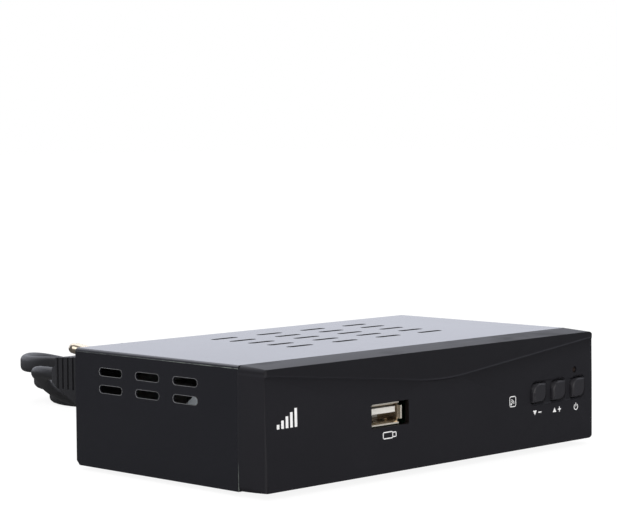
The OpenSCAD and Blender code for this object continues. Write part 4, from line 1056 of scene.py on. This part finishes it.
# %% [markdown]
# The front carries small white prints: a sign under each key, a mark at the remote control's eye, one under
# the memory port and a row of rising bars, all of them plain signs. Ink has next to no thickness, so each
# flat shape is cut into small faces and laid on the moulded face by casting rays straight back onto the
# panel. The flat shapes are drawn in millimetres across and up the panel.

# %% Flat shapes of the prints
ARROW_HALF, ARROW_RISE = 1.0, 0.8


def bar(x, z, w, h):
    return [(x - w / 2, z - h / 2), (x + w / 2, z - h / 2), (x + w / 2, z + h / 2), (x - w / 2, z + h / 2)]


def arrow(x, z, way):
    foot = z - way * ARROW_RISE
    return [(x - ARROW_HALF, foot), (x + ARROW_HALF, foot), (x, z + way * ARROW_RISE)]


def stroke(points, thick, closed=False):
    pairs = list(zip(points, points[1:] + points[:1] if closed else points[1:]))
    shapes = []
    for (x0, z0), (x1, z1) in pairs:
        length = math.hypot(x1 - x0, z1 - z0)
        nx, nz = -(z1 - z0) / length * thick / 2, (x1 - x0) / length * thick / 2
        shapes.append([(x0 - nx, z0 - nz), (x1 - nx, z1 - nz), (x1 + nx, z1 + nz), (x0 + nx, z0 + nz)])
    return shapes


print("an arrow has", len(arrow(0, 0, 1)), "points and a bar", len(bar(0, 0, 1, 1)))

# %% Ink laid on the panel
INK_LIFT, INK_STEP, INK_CUTS, INK_MERGE = 0.03 * MM, 0.6 * MM, 4, 0.0001 * MM
AHEAD_Y = -70 * MM
panel = nodes["front_panel"].data
panel_faces = [tuple(face.vertices) for face in panel.polygons]
panel_tree = BVHTree.FromPolygons([v.co.copy() for v in panel.vertices], panel_faces)
ink = moulded("white_ink", (0.92, 0.92, 0.92), 0.5, grain=4000.0, spread=0.08)


def printed(name, shapes):
    shape = bmesh.new()
    for points in shapes:
        shape.faces.new([shape.verts.new((x * MM, 0.0, z * MM)) for x, z in points])
    bmesh.ops.remove_doubles(shape, verts=shape.verts, dist=INK_MERGE)
    long_edges = [e for e in shape.edges if e.calc_length() > INK_STEP]
    bmesh.ops.subdivide_edges(shape, edges=long_edges, cuts=INK_CUTS, use_grid_fill=True)
    bmesh.ops.triangulate(shape, faces=shape.faces)
    for v in shape.verts:
        hit = panel_tree.ray_cast(Vector((v.co.x, AHEAD_Y, v.co.z)), Vector((0, 1, 0)))[0]
        v.co.y = hit.y - INK_LIFT
    for face in shape.faces:
        face.normal_update()
        if face.normal.y > 0:
            face.normal_flip()
    made = object_from(shape, name)
    made.data.materials.append(ink)
    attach(made, "receiver")
    print(name, len(made.data.polygons), "faces")


print("panel to print on:", len(panel_faces), "faces")

# %% Prints on the panel
SIGN_Z, LINE, FINE = 14.0, 0.34, 0.26
DOWN_X, UP_X, POWER_X = 49.0, 59.7, 70.4
ARROW_OFF, CROSS_OFF, CROSS_BAR = -1.2, 1.5, (1.7, 0.4)
EYE_FRAME, PORT_FRAME = (36.1, 19.0, 3.1, 3.4, 0.6), (-26.0, 14.3, 4.4, 2.0, 0.4)
WAVE = (35.25, 18.15)
PORT_PLUG = [(-23.8, 15.0), (-22.2, 15.0), (-22.2, 13.6), (-23.8, 13.6)]
BARS, BARS_X, BARS_Z, BAR_STEP, BAR_W, BAR_H, BAR_GROWS = 5, -74.5, 22.0, 1.9, 1.1, 1.4, 1.1

printed("down_sign", [arrow(DOWN_X + ARROW_OFF, SIGN_Z, -1), bar(DOWN_X + CROSS_OFF, SIGN_Z, *CROSS_BAR)])
cross = [bar(UP_X + CROSS_OFF, SIGN_Z, *CROSS_BAR)]
cross += [bar(UP_X + CROSS_OFF, SIGN_Z + s * 0.55, 0.4, 0.7) for s in (1, -1)]
printed("up_sign", [arrow(UP_X + ARROW_OFF, SIGN_Z, 1)] + cross)
ring = stroke(arc(POWER_X, SIGN_Z - 0.1, 1.0, 125, 415, 24), LINE)
printed("power_sign", ring + [bar(POWER_X, SIGN_Z + 0.65, LINE, 1.3)])
waves = stroke(arc(*WAVE, 0.95, 5, 85, 8), FINE) + stroke(arc(*WAVE, 1.55, 5, 85, 10), FINE)
printed("eye_sign", stroke(rounded_outline(*EYE_FRAME), 0.3, closed=True) + [disc(*WAVE, 0.36)] + waves)
printed("port_sign", stroke(rounded_outline(*PORT_FRAME), LINE, closed=True) + stroke(PORT_PLUG, LINE))
printed("level_bars", [bar(BARS_X + BAR_STEP * i, BARS_Z + BAR_GROWS / 2 * i, BAR_W, BAR_H + BAR_GROWS * i)
                       for i in range(BARS)])
